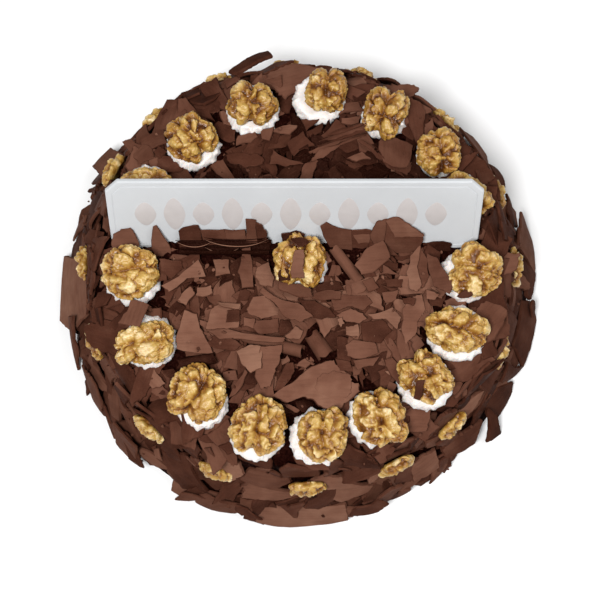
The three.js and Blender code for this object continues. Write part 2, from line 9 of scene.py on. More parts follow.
import bmesh
import bpy
import numpy as np
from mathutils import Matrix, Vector


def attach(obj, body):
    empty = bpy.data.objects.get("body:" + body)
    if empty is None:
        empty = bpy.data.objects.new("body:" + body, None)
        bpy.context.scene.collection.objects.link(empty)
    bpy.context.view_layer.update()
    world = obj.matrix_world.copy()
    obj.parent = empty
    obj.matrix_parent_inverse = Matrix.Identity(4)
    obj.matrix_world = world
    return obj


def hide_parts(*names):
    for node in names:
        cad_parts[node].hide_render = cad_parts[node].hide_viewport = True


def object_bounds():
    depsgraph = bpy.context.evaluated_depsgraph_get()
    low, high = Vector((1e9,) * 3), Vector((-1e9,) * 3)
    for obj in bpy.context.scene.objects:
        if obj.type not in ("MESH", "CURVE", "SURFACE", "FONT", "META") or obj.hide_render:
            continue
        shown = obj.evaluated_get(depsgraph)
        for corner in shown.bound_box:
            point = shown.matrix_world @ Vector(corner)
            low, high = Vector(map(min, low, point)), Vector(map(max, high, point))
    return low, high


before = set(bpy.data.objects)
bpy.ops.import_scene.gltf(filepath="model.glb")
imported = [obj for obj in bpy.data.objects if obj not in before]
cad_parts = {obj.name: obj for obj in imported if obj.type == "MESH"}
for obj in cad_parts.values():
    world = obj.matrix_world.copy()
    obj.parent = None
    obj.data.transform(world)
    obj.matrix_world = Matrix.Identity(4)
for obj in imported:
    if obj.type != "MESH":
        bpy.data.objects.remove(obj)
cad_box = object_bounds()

MM = 0.001
DEG = math.pi / 180
# How far inside the CAD box the shards stay, how much may be trimmed off one for that, and how often
# one is broken anew where more would have to be
EDGE = 0.05
MOST_TRIMMED = 0.9
FITTING_TRIES = 12
LOWEST = np.array(cad_box[0]) / MM + (EDGE, EDGE, 0)
HIGHEST = np.array(cad_box[1]) / MM - EDGE

# Sizes that the cake has in its source too
TOP_Z = 68.0
TOP_RADIUS = 105.0
WAIST_RADIUS = 110.0
FOOT_RADIUS = 129.0
SIDE_UNEVENNESS = 1.1
BED_RADIUS = 74.0
BED_HEIGHT = 3.0
CREAM_RADIUS = 14.8
CREAM_HEIGHT = 8.0
NUT_HEIGHT = 12.5
SIDE_NUT = {"length": 23.0, "width": 18.0, "height": 8.0, "z": 45.0}
SHARD_THICKNESS = 1.8
SIDE_SHARD_THICKNESS = 2.0
BIG_SHARD_THICKNESS = 2.4
BIG_SHARD_BOW = 1.5
SHARD_LOWEST_Z = 0.4
CLEARANCE = 0.4
PLAQUE = {
    "length": 193.0, "height": 46.3, "thickness": 3.0, "chamfer": 6.5,
    "lean": 58.0, "x": -2.3, "y": 9.0, "sunk": 1.5,
}

# Walnuts on top: bearing, reach, heading, length, width, offset of the cream, its radius, depth of
# the notch at each end, and heading of the lobes against the long side.
TOP_NUTS = [
    (185.4, 88.2, 4, 33, 29, (1.5, -2.2), CREAM_RADIUS, 0.05, 0.16, 0),
    (210.4, 92.3, 16, 34, 23, (2.5, 2.4), CREAM_RADIUS, 0.08, 0.2, 10),
    (234.5, 88.9, 62, 35, 30, (1.4, -3.4), CREAM_RADIUS, 0.1, 0.3, 0),
    (256.8, 92.6, 74, 34, 30, (-0.4, -1.6), CREAM_RADIUS, 0.04, 0.4, 10),
    (277.6, 93.9, 92, 31, 25, (-3.4, -0.4), CREAM_RADIUS, 0.16, 0.1, 0),
    (296.0, 94.2, 108, 36, 26, (-2.6, 0.8), CREAM_RADIUS, 0.1, 0.14, -10),
    (315.6, 90.3, 128, 31, 25, (0.6, -2.4), CREAM_RADIUS, 0.22, 0.14, 0),
    (334.3, 89.7, 164, 34, 25, (0.8, -0.9), 15.8, 0.04, 0.1, 0),
    (355.4, 91.2, 172, 34, 29, (-3.0, -1.6), CREAM_RADIUS, 0.2, 0.12, 15),
    (20.3, 93.3, -35, 29, 22, (-1.6, 1.4), 13, 0.1, 0.1, 0),
    (36.9, 92.8, 100, 28, 25, (-0.4, 1.0), 12, 0.04, 0.08, 70),
    (60.0, 91.2, 68, 31, 24, (-0.4, -0.6), 12.6, 0.24, 0.24, 0),
    (80.9, 92.4, 88, 28, 23, (-4.0, -2.8), CREAM_RADIUS, 0.12, 0.14, 0),
    (106.9, 86.9, 84, 28, 27, (0.2, -0.7), CREAM_RADIUS, 0.2, 0.42, 0),
    (131.9, 85.4, 128, 29, 27, (0.9, -0.7), CREAM_RADIUS, 0.06, 0.34, 0),
    (156.3, 88.4, 8, 31, 26, (0.8, 1.5), CREAM_RADIUS, 0.1, 0.1, 0),
    (290.0, 2.6, 84, 33, 27, (2.6, -1.9), 11.6, 0.2, 0.28, 0),
]
# How much darker some of them are: on those at the back, 11 to 15, it is painted shade; 7 and 17 are
# darkened too
DARKER_AND_SHADED_NUTS = {11: 0.12, 12: 0.12, 13: 0.12, 14: 0.12, 15: 0.1, 17: 0.12, 7: 0.06}
SIDE_NUT_BEARINGS = [178, 200, 227, 248, 272, 296, 314, 337, 1, 22, 46, 73, 93, 113, 133, 151]

SCROLL_WALL = 1.3
# Scrolls: name, place, heading, length, radius, how far round the wall goes, and where its middle is
SCROLLS = [
    ("scroll_by_plaque", -38.5, 5.8, 0, 48, 4.4, 250, "down"),
    ("scroll_front", -14, -45.6, -17, 34, 3.6, 260, "up"),
    ("scroll_front_left", -53, -54.6, 10, 21, 3.2, 240, "up"),
    ("scroll_right", 25, -3.6, -55, 24, 3.4, 220, "up"),
    ("scroll_front_right", 10.2, -46.2, -57, 15, 5.0, 200, "up"),
]
ROLL_TONES = [0.3, 0.55, 0.12, 0.62, 0.42]
FRONT_PLATE = {"x": 10.0, "y": -64.8, "lift": 3.8, "bow": 2.4, "half": 23.0}
FRONT_PLATE_CORNERS = [
    (-24, -7.7), (-16.3, -11.4), (-8.6, -8.6), (-3.1, -10), (1, -13.6), (6.5, -15.2), (11.4, -14.6),
    (15.5, -11), (21.3, -5.4), (21, -1.2), (17.2, -0.6), (16.6, 3.3), (8.9, 8.6), (8.2, 10.9),
    (3.9, 10.2), (-3.8, 7.3), (-10, 2.6), (-16.3, -2.4),
]

# The shards that the source fuses to the cake
TOP_SHARDS = 36
RIM_SHARDS = 15
SIDE_ROWS = [(58, 11, 14, 27), (40, 12, 20, 32), (22, 13, 30, 33), (9, 13, 36, 28)]
GOLDEN_ANGLE = math.pi * (3 - math.sqrt(5))
SHARD_SEED = 20
SIDE_PROFILE = [
    (FOOT_RADIUS, 0),
    (FOOT_RADIUS, 4),
    (0.6 * FOOT_RADIUS + 0.4 * WAIST_RADIUS, 18),
    (WAIST_RADIUS + 3.5, 34),
    (WAIST_RADIUS, 48),
    (WAIST_RADIUS - 1.5, 59),
    (TOP_RADIUS, TOP_Z - 2.5),
    (TOP_RADIUS - 6, TOP_Z),
]

# Outlines of shards, one long and one wide
OUTLINES = {
    "slab": [(-0.5, -0.3), (0.28, -0.5), (0.5, -0.12), (0.4, 0.42), (-0.3, 0.5)],
    "quad": [(-0.5, -0.34), (0.4, -0.5), (0.5, 0.3), (0.1, 0.5), (-0.4, 0.44)],
    "wedge": [(-0.5, -0.42), (0.12, -0.36), (0.5, -0.04), (0.48, 0.08), (-0.4, 0.5)],
    "kite": [(-0.5, 0.04), (-0.06, -0.5), (0.5, -0.1), (0.1, 0.5)],
    "lens": [
        (-0.5, 0.02), (-0.26, -0.3), (0.05, -0.42), (0.34, -0.26), (0.5, 0.04), (0.2, 0.32), (-0.15, 0.36),
    ],
    "strip": [(-0.5, -0.34), (0.0, -0.5), (0.5, -0.3), (0.46, 0.42), (0.0, 0.46), (-0.45, 0.34)],
    "fan": [(-0.5, -0.1), (0.12, -0.5), (0.5, -0.3), (0.42, 0.26), (0.16, 0.5), (-0.42, 0.16)],
    "chip": [(-0.5, -0.3), (0.5, -0.35), (0.05, 0.5)],
}

# Shards that stand out on the side: bearing, height, how far off the side, how far the face leans back
# from the upright, turn of the long side in the face, length, width, outline and tone from dark to pale.
BIG_SHARDS = [
    (50, 14, 4.5, 32, 8, 34, 22, "slab", 0.4),
    (62, 42, 4, 28, 80, 28, 18, "quad", 0.5),
    (74, 13, 4.5, 32, 170, 38, 20, "quad", 0.55),
    (88, 44, 4, 30, 100, 26, 15, "wedge", 0.3),
    (97, 14, 4.5, 32, 5, 36, 22, "slab", 0.5),
    (103, 64, 11, 50, 28, 28, 9, "strip", 0.3),
    (118, 42, 4, 28, 75, 30, 18, "fan", 0.6),
    (122, 13, 4.5, 32, 12, 32, 22, "fan", 0.35),
    (148, 24, 9, 48, 80, 30, 20, "quad", 0.6),
    (160, 42, 4, 26, 70, 30, 18, "wedge", 0.45),
    (182, 20, 6.5, 34, 5, 48, 38, "slab", 0.8),
    (206, 22, 4, 28, 27, 27, 18, "wedge", 0.58),
    (215, 22, 4, 28, 121, 25, 11, "strip", 0.55),
    (215, 50, 4, 26, 98, 24, 14, "slab", 0.25),
    (231, 59, 4, 40, 170, 30, 9, "strip", 0.25),
    (233, 35, 4, 28, 137, 24, 11, "strip", 0.3),
    (239.6, 22, 4.5, 30, 136, 32, 21, "quad", 0.27),
    (249.5, 51, 4.5, 34, 8, 24, 17, "slab", 0.9),
    (261, 46, 3, 30, 5, 28, 15, "slab", 0.46),
    (262.4, 30, 4, 30, 7, 33, 17, "wedge", 0.74),
    (270.7, 12, 4.5, 32, 0, 52, 21, "strip", 0.78),
    (278, 45, 4.5, 36, 175, 25, 15, "lens", 0.84),
    (283, 28, 4, 30, 170, 27, 18, "fan", 0.75),
    (287, 55, 4, 42, 10, 26, 16, "slab", 0.36),
    (290.5, 43, 4.5, 32, 60, 21, 9, "lens", 0.8),
    (292.5, 17, 4, 30, 90, 23, 11, "wedge", 0.2),
    (303.5, 22, 4.5, 32, 5, 20, 20, "quad", 0.72),
    (315.5, 17, 4.5, 32, 156, 31, 17, "slab", 0.42),
    (319.4, 42, 5, 34, 172, 33, 13, "lens", 0.82),
    (323.5, 8, 7, 36, 68, 24, 12, "wedge", 0.2),
    (330, 10, 4, 30, 150, 28, 22, "fan", 0.22),
    (332, 45, 4, 36, 92, 28, 23, "quad", 0.34),
    (345, 41, 4, 26, 90, 36, 27, "quad", 0.34),
    (348, 12, 5.5, 32, 0, 38, 24, "slab", 0.28),
    (354.5, 40, 5, 24, 32, 17, 9, "wedge", 0.5),
    (2, 12, 5.5, 32, 5, 26, 23, "fan", 0.27),
    (10, 46, 4, 26, 80, 30, 18, "slab", 0.3),
    (30, 8, 6, 34, 163, 17, 12, "quad", 0.4),
    (36, 40, 4, 30, 75, 28, 15, "fan", 0.45),
]
BIG_SHARD_SPACING = 13.0
# Spots on the side where no loose shards hide the crumbs: bearing, height, width and height on the side
BARE_SPOTS = [(266, 61, 30, 18), (251, 62, 12, 10)]

# Smaller shards that lie on those: bearing, height, heading from the level, length, width, outline, tone.
SMALL_SIDE_SHARDS = [
    (263.6, 58, 93, 12, 9, "lens", 0.3),
    (287, 12, 20, 19, 11, "slab", 0.35),
    (339, 37, 156, 9, 5, "lens", 0.72),
    (354, 10, 40, 10, 8, "fan", 0.3),
    (7.7, 65, 90, 17, 12, "slab", 0.2),
    (10, 36, 10, 10, 10, "fan", 0.4),
    (35, 50, 75, 18, 10, "slab", 0.5),
    (244, 8, 15, 18, 10, "wedge", 0.5),
    (258, 12, 160, 14, 8, "fan", 0.3),
    (298, 40, 30, 14, 8, "lens", 0.4),
    (226, 12, 150, 20, 11, "slab", 0.35),
    (196, 44, 80, 16, 8, "strip", 0.3),
]

# Shards that lie on top where the photograph shows them: place, heading, length, width, outline,
# tone from dark to pale, and how far the long sides curl down (or up, below nought).
PLACED_SHARDS = [
    (3, -56, 10, 9, 5, "kite", 0.75, 0.0),
    (-31, -68, 56, 15, 4, "strip", 0.5, 0.2),
    (-36, -62, 20, 10, 8, "quad", 0.6, 0.0),
    (-84, -31, 80, 16, 13, "quad", 0.72, 0.2),
    (-39, -46, 0, 17, 7, "slab", 0.35, 0.3),
    (-75, -63, -50, 15, 8, "quad", 0.72, 0.0),
    (-71, -8, 100, 10, 5.5, "quad", 0.5, 0.0),
    (68, -20, 0, 8, 5, "quad", 0.6, 0.0),
    (-8, 70, 5, 17, 8, "lens", 0.75, 0.3),
    (-28, 53, -8, 20, 9, "lens", 0.36, 0.5),
    (-8, 53, -12, 17, 9, "wedge", 0.4, 0.4),
    (-29, 65, 10, 12, 7, "slab", 0.65, 0.0),
    (-17, 67, 80, 8, 6.5, "quad", 0.6, 0.0),
    (-41, 71, -30, 16, 9, "slab", 0.36, 0.4),
    (0, 60, 40, 14, 11, "slab", 0.4, 0.0),
    (-5, 88, 41, 20, 6, "strip", 0.45, 0.3),
    (18, 59, 27, 27, 3.0, "strip", 0.45, 0.2),
    (20, 62, 25, 30, 2.6, "strip", 0.52, 0.2),
    (22, 64, 22, 31, 2.6, "strip", 0.4, 0.2),
    (25, 67, 20, 28, 2.4, "strip", 0.5, 0.2),
    (27, 70, 18, 24, 2.4, "strip", 0.44, 0.2),
    (28, 76, 5, 11, 4.5, "strip", 0.7, 0.2),
    (32, 54, 5, 13, 7, "kite", 0.7, 0.0),
    (39, 57, -40, 18, 2.2, "strip", 0.42, 0.2),
    (26, 83, 10, 14, 8, "slab", 0.5, 0.0),
    (-16, 97, 10, 16, 9, "slab", 0.45, 0.3),
    (51, 58, 85, 19, 18, "quad", 0.5, 0.5),
    (61, 72, 60, 12, 9, "quad", 0.3, 0.0),
    (-61, 81, 0, 18, 7, "slab", 0.45, 0.3),
    (-51, 87, -20, 19, 8, "slab", 0.3, 0.3),
    (-78, 65, 20, 14, 11, "quad", 0.42, 0.0),
    (-84, 57, 40, 13, 10, "slab", 0.52, 0.0),
    (-68, 52, 0, 17, 9, "slab", 0.36, 0.4),
    (91, 57, 40, 12, 8, "slab", 0.42, 0.3),
    (60, -72, 75, 12, 5, "strip", 0.3, 0.2),
    (86, -21, 25, 9, 5, "lens", 0.25, 0.2),
]

# Plates in front of the plaque, from the lowest to the topmost: tone, how far the long sides curl down,
# and the corners, from the middle of the cake.
PLACED_PLATES = [
    (0.3, 0.2, ((32, -35), (43, -33.5), (48, -39.5), (42, -46), (33, -46))),
    (0.35, 0.2, ((-73, -1.5), (-61, -1.5), (-60, -6), (-66, -12), (-72, -8))),
    (0.15, 0.4, ((-69, -28), (-63.5, -23), (-58, -27.5), (-63.5, -32))),
    (0.5, 0.2, ((-22.5, -33.5), (-10.5, -32.5), (-10.5, -40), (-19.5, -41.5), (-23.5, -38))),
    (0.2, 0.3, ((-10, -33.5), (-4.5, -33.5), (-3, -38), (-8.5, -42), (-10.5, -40.5))),
    (0.65, 0.0, ((-29, -31.5), (-22.5, -32.5), (-23.5, -38), (-29, -36.5))),
    (0.5, 0.2, ((32.5, -13), (38, -11), (41.5, -17.5), (36, -19.5))),
    (0.4, 0.3, ((44, -12.5), (54, -11.5), (53, -17.5), (45.5, -16.5))),
    (0.6, 0.2, ((42.5, -19.5), (51.5, -18), (50.5, -23), (44.5, -25))),
    (0.5, 0.5, ((66, 2), (72, -1.5), (80.5, -15.5), (77.5, -21), (69.5, -16.5), (67, -8.5))),
    (0.7, 0.1, ((65.5, -18), (72.5, -20.5), (70.5, -23.5), (65.5, -23))),
    (0.25, 0.6, ((-1, -23), (8, -23.5), (16, -28), (19, -32.5), (12, -33.5), (5.5, -31.5))),
    (
        0.5, 0.4,
        ((16.5, -23), (22.5, -20), (35, -21), (38, -25), (33, -29), (27.5, -27), (21.5, -28.5), (18, -29)),
    ),
    (0.72, 0.3, ((19, -31.5), (26.5, -28), (33, -30.5), (35, -33.5), (31, -36), (24, -35))),
    (0.92, 0.0, ((19.5, -33.5), (22.5, -32.5), (23.5, -36), (21.5, -38))),
    (0.88, 0.1, ((24, -37), (30.5, -36), (31, -42.5), (24, -41.5))),
    (0.55, 0.3, ((23.5, -47.5), (27.5, -44.5), (39, -46), (40.5, -51.5), (32, -54.5), (24.5, -53))),
    (0.6, 0.2, ((27.5, -55), (41.5, -53), (38, -58), (29.5, -60))),
    (0.5, 0.4, ((43.5, -54), (47.5, -53), (57, -64.5), (53, -69), (45, -59))),
    (
        0.8, 0.4,
        ((53, -28), (59, -21.5), (63.5, -20), (65.5, -28),
         (61, -35), (59.5, -42), (55, -46.5), (52.5, -38)),
    ),
    (0.82, 0.3, ((35, -31.5), (48.5, -26.5), (53, -32), (50.5, -39), (44.5, -33.5), (38, -34))),
    (0.35, 0.0, ((53, -23), (60, -23.5), (59, -27), (54, -26))),
    (0.68, 0.3, ((44, 8.5), (47.5, -1.5), (38, -9.5), (32, -10), (28.5, -4.5), (34.5, 4))),
    (0.5, 0.3, ((63.5, 6.5), (67, -1.5), (67.5, -11), (63.5, -17.5), (61.5, -5.5))),
    (
        0.78, 0.5,
        ((63.5, 6.5), (58, 1), (55.5, -8.5), (57, -17.5), (60.5, -20), (63.5, -16.5), (61.5, -5.5)),
    ),
    (0.84, 0.3, ((-71.5, -16.5), (-52, -1.5), (-48, -10.5), (-58, -12), (-67.5, -19.5))),
    (0.8, 0.1, ((-62.5, -23.5), (-56, -16.5), (-53.5, -20.5), (-58, -26.5))),
    (0.85, 0.1, ((-53, -16.5), (-45.5, -15.5), (-44.5, -19.5), (-47.5, -21.5), (-53.5, -21))),
    (
        0.8, 0.4,
        ((-59, -28.5), (-63.5, -43), (-63, -49), (-44, -51.5),
         (-47.5, -44), (-49.5, -39.5), (-52.5, -30.5)),
    ),
    (0.76, 0.1, ((-45, -0.5), (-36.5, -1), (-35.5, -10), (-43.5, -11))),
    (0.82, 0.1, ((-22, -5.5), (-16, -1.5), (-12.5, -11), (-13.5, -16.5), (-20, -16.5), (-23, -12))),
    (0.55, 0.5, ((-30, 5), (-25.5, 6.5), (-24.5, -1.5), (-23.5, -16.5), (-29.5, -17.5), (-32, -8.5))),
    (
        0.78, 0.2,
        ((-48, -39), (-45.5, -28.5), (-42, -26), (-30, -25.5), (-30, -28), (-31, -38), (-38.5, -38.5)),
    ),
    (0.3, 0.0, ((-37, -29), (-30.5, -29), (-30.5, -35), (-37.5, -35.5))),
    (0.95, 0.0, ((-42.5, -25.5), (-30, -25), (-30.5, -28), (-40.5, -28))),
    (
        0.82, 0.3,
        ((-27, -28), (-24, -22), (-17.5, -21), (-10, -28), (-10.5, -31.5), (-19.5, -33.5), (-26, -31)),
    ),
    (0.8, 0.1, ((-8.5, -20), (-3.5, -16.5), (0, -19.5), (-0.5, -24), (-6, -23.5))),
    (
        0.68, 0.4,
        ((-19, -17), (-9, -23.5), (1.5, -26.5), (7.5, -32.5),
         (0.5, -35.5), (-7, -33), (-11.5, -27), (-20.5, -19.5)),
    ),
    (0.7, 0.2, ((-47, -39), (-36, -38.5), (-7, -44), (-8, -46.5), (-31, -44), (-41, -44))),
    (0.85, 0.1, ((-8, -42), (-2, -36.5), (2.5, -39), (0.5, -43.5), (-4.5, -43.5))),
    (0.38, 0.5, ((-13, -70), (-11, -64), (-6.5, -56), (-2.5, -55.5), (-2, -60), (-8, -68.5))),
    (
        0.7, 0.2,
        ((-19.5, -48), (-8.5, -47), (-10, -56.5), (-12.5, -62), (-15, -69), (-19.5, -70), (-22.5, -63.5)),
    ),
    (
        0.95, 0.3,
        ((-32.5, -49.5), (-25.5, -46.5), (-18.5, -48.5), (-19, -60.5), (-24.5, -62.5), (-29.5, -57)),
    ),
    # The next two plates are dark as painted shade: one over the front plate, one in front of the middle
    # walnut and to its left
    (0.35, 0.2, ((18.5, -54), (26.5, -55.5), (28, -60.5), (21, -60))),
    (0.2, 0.3, ((-10.9, -9.5), (-8.2, -7.5), (-5.1, -8.5), (-4.2, -14), (-10.9, -15))),
    (0.15, 0.3, ((8.5, -13.9), (16, -12.5), (21.1, -12.9), (23.7, -18.2), (16, -18.6), (9.4, -19))),
    (0.62, 0.3, ((-10.6, -14.4), (0.5, -13.8), (6.5, -17), (7, -22.4), (0.5, -23.5), (-10.6, -19.2))),
    (0.5, 0.2, ((7.2, -19.8), (15, -17.4), (22.2, -19), (21.7, -23.5), (10.8, -24), (6.7, -22.4))),
    (
        0.68, 0.2,
        ((-2.1, 0.7), (2.6, 0.9), (2.6, -5.1), (2, -9.3), (2.6, -14),
         (-3.6, -14), (-4.6, -10.4), (-3.1, -5.1)),
    ),
    (
        0.22, 0.3,
        ((-4.6, 7.5), (0, 8.8), (3.1, 8), (5.4, 5.9), (4.6, 4.4), (2, 2.5), (-0.5, 2), (-2.6, 4.4)),
    ),
    (0.1, 0.8, ((-14, -76.5), (-10, -75), (-1.5, -79), (0.5, -83), (-6, -82.5))),
    (0.62, 0.0, ((-10, -75.6), (-4, -76.8), (0.5, -79.6), (-1, -80.8), (-6.5, -78.2))),
    (0.02, 1.2, ((-1.5, -75), (3, -73.4), (7.5, -75.4), (8.3, -78.8), (3.4, -80.6), (-0.8, -79))),
]

# Shards that lean on the front of the plaque, from the hindmost: tone, and the corners, across the
# cake and up the plaque from its foot.
FOOT_SHARDS = [
    (
        0.72,
        ((-98.6, 3.5), (-97, 10.5), (-92.9, 13.4), (-87.7, 14.2),
         (-86.2, 12), (-83.6, 3.5), (-86, -2.5), (-97, -2.5)),
    ),
    (
        0.6,
        ((-77.4, 4.5), (-75.8, 15.7), (-74.2, 16.4), (-72.2, 12.7), (-67, 1.5), (-68, -2.5), (-76, -2.5)),
    ),
    (0.45, ((-51.4, 13.4), (-38.9, 13.8), (-37.5, 9), (-40, 4), (-50, 4))),
    (
        0.25,
        ((-62.8, 2.5), (-62.8, 12.7), (-60.7, 14.6), (-52.4, 16.1),
         (-51, 12.7), (-50.6, 2.5), (-56, -0.5)),
    ),
    (0.88, ((-49.8, 11), (-39.4, 11.4), (-37.9, 8), (-46.2, 5.9))),
    (0.52, ((-38.9, 13.8), (-28, 13.8), (-26.5, 8), (-30, 4.5), (-36.9, 5.5))),
    (0.35, ((-23, 18.4), (-19.7, 17.2), (-16.6, 12), (-16.9, 5.5), (-23, 4.5))),
    (0.5, ((-27.7, 20.9), (-22.2, 20.2), (-21.6, 5.5), (-28, 5.5))),
    (0.12, ((-9.4, 11.2), (-1.6, 13.1), (3, 11), (2, 4.5), (-8.3, 4.5))),
    (0.42, ((10.9, 15.7), (14, 18.3), (27.5, 13.4), (28, 1), (16.1, 3))),
    (0.36, ((26, 12.7), (37.9, 12.9), (38.5, 3.5), (33, 1.5), (26, 2.5))),
    (0.62, ((28, 10.6), (38.5, 11.2), (36.8, 5.7), (31, 4.9))),
    (0.55, ((36.8, 11.2), (39.9, 18.7), (45.6, 20.5), (47.5, 12.7), (45, 3.5), (40, 3.5))),
    (0.72, ((44.6, 20.2), (48.2, 22), (51.4, 22), (58.6, 16.4), (65.4, 11), (60, 5.5), (50, 9))),
    (0.42, ((45.1, 19), (52.4, 15.8), (64.9, 12), (65, 8.2), (62.8, 1.5), (55, -0.5), (45, 1.5))),
    (0.1, ((65, 3), (72, 4.5), (80, 3.5), (80, -1.5), (66, -1.5))),
]
FOOT_SHARD_LEAN = 0.16

# Angles and places


def full_turn(steps):
    """Angles at even steps round a full turn."""
    return np.arange(steps) / steps * 2 * math.pi


def polar(reach, bearing):
    return reach * math.cos(bearing), reach * math.sin(bearing)


def round_points(radius, angle, z):
    return np.stack([radius * np.cos(angle), radius * np.sin(angle), z], 1)


def round_about(bearing):
    """The ways out of the cake and level round it at a bearing."""
    c, s = polar(1, bearing)
    return np.array([c, s, 0.0]), np.array([-s, c, 0.0])


def line_points(along):
    return np.stack([along, 0 * along, 0 * along], 1)


def turn_matrix(heading):
    """Turns points in a plane, given as rows, by the heading."""
    c, s = math.cos(heading), math.sin(heading)
    return np.array([[c, s], [-s, c]])


def turned(points, heading):
    """The points turned about the vertical."""
    matrix = np.eye(3)
    matrix[:2, :2] = turn_matrix(heading)
    return points @ matrix


def smooth_steps(points, spacing):
    """The points of a line at about even spacing."""
    points = np.array(points, float)
    lengths = np.r_[0, np.cumsum(np.linalg.norm(np.diff(points, axis=0), axis=1))]
    wanted = np.linspace(0, lengths[-1], int(lengths[-1] / spacing) + 1)
    return np.stack([np.interp(wanted, lengths, points[:, i]) for i in (0, 1)], 1)


def disc_points(count):
    """Points spread evenly over a disc with a radius of one, from its middle outwards."""
    k = np.arange(count) + 0.5
    radius = np.sqrt(k / count)
    angle = k * GOLDEN_ANGLE
    return np.stack([radius * np.cos(angle), radius * np.sin(angle)], 1)


DISC = disc_points(80)
DENSE_DISC = disc_points(420)

# Random draws and smooth random fields

SEEDS = {"body": 1, "shards": 7, "halves": 100, "pieces": 200, "cream": 300, "scrolls": 400, "front": 500}
SOURCE_TONES = {"top": (0.35, 0.8), "rim": (0.3, 0.68), "side": (0.32, 0.7)}


class Draws:
    """Draws between 0 and 1, the same as the source's for the same seed."""

    def __init__(self, seed):
        self.state = seed

    def __call__(self):
        self.state = (self.state * 1664525 + 1013904223) & 0xFFFFFFFF
        return self.state / 4294967296

    def over(self, least, extra, base=0):
        """The base and the least, and a random part of the extra."""
        return base + least + extra * self()

    def about(self, width):
        """A random part of the width, half of it to either side of nought."""
        return width * (self() - 0.5)


class Field:
    """A smooth random field of about one unit each way, made of plane waves."""

    def __init__(self, rng, wavelength, waves=16):
        direction = rng.normal(size=(waves, 3))
        direction /= np.linalg.norm(direction, axis=1)[:, None]
        pitch = 2 * math.pi / (wavelength * rng.uniform(0.65, 1.5, waves))
        self.wave = direction * pitch[:, None]
        self.phase = rng.uniform(0, 2 * math.pi, waves)
        self.scale = 0.6 * math.sqrt(2 / waves)

    def __call__(self, points):
        return np.sin(points @ self.wave.T + self.phase).sum(1) * self.scale


def fields_sum(points, rng, *layers):
    """Random fields added up, each given by its height, its wavelength and its number of waves."""
    return sum(height * Field(rng, wavelength, waves)(points) for height, wavelength, waves in layers)


# Meshes

# The angle between faces from which a shard's edge is sharp
SHARD_EDGE = 35


def make_piece(name, points, triangles, materials, slots=None, fields=None, sharp=None):
    """A mesh object from points in millimetres, triangles and values at the points."""
    mesh = bpy.data.meshes.new(name)
    mesh.from_pydata((points * MM).tolist(), [], triangles.tolist())
    for material in materials:
        mesh.materials.append(material)
    mesh.polygons.foreach_set("use_smooth", np.ones(len(triangles), bool))
    if slots is not None:
        mesh.polygons.foreach_set("material_index", slots.astype(np.int32))
    for key, values in (fields or {}).items():
        kind, entry = ("FLOAT_VECTOR", "vector") if values.ndim == 2 else ("FLOAT", "value")
        layer = mesh.attributes.new(key, kind, "POINT")
        layer.data.foreach_set(entry, values.astype(np.float32).ravel())
    if sharp is not None:
        mesh.set_sharp_from_angle(angle=sharp * DEG)
    mesh.update()
    piece = bpy.data.objects.new(name, mesh)
    bpy.context.scene.collection.objects.link(piece)
    return piece


def belongs(piece, slot, *nodes):
    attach(piece, "root")
    if nodes:
        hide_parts(*nodes)


def ring_triangles(rings, segments):
    """Triangles of a stack of rings, closed by a point below the first and one above the last, and
    the number of the band that each lies in."""
    k = np.arange(segments)
    after = (k + 1) % segments
    last = 1 + rings * segments
    faces = [np.stack([0 * k, 1 + after, 1 + k], 1)]
    bands = [np.full(segments, -1)]
    for ring in range(rings - 1):
        low, high = 1 + ring * segments, 1 + (ring + 1) * segments
        faces.append(np.stack([low + k, low + after, high + after], 1))
        faces.append(np.stack([low + k, high + after, high + k], 1))
        bands.append(np.full(2 * segments, ring))
    top = last - segments
    faces.append(np.stack([0 * k + last, top + k, top + after], 1))
    bands.append(np.full(segments, rings - 1))
    return np.concatenate(faces), np.concatenate(bands)


def stacked(rings, below, above):
    """The points and triangles of a closed body made of rings, with a point at either end."""
    points = np.concatenate([[below], *rings, [above]])
    return points, ring_triangles(len(rings), len(rings[0]))[0]


class Heap:
    """Many small closed bodies that are joined into one mesh."""

    def __init__(self):
        self.points, self.triangles, self.slots, self.tones, self.grains = [], [], [], [], []
        self.count = 0

    def add(self, points, triangles, slots, tone, grain):
        self.points.append(points)
        self.triangles.append(triangles + self.count)
        self.slots.append(slots)
        self.tones.append(np.full(len(points), tone))
        self.grains.append(grain)
        self.count += len(points)

    def piece(self, name, materials):
        parts = (self.points, self.triangles, self.slots, self.tones, self.grains)
        points, triangles, slots, tones, grains = (np.concatenate(part) for part in parts)
        fields = {"tone": tones, "grain": grains}
        return make_piece(name, points, triangles, materials, slots, fields, SHARD_EDGE)


# Materials

DARK = (0.014, 0.0032, 0.0018)
PLAIN = (0.068, 0.0238, 0.0142)
MILK = (0.149, 0.0645, 0.041)
PALE = (0.236, 0.118, 0.077)
KERNEL_SKIN = (0.3, 0.125, 0.024)
WHITE = (1.0, 1.0, 1.0)
FLOOR_COLOUR = (0.92, 0.92, 0.92, 1)

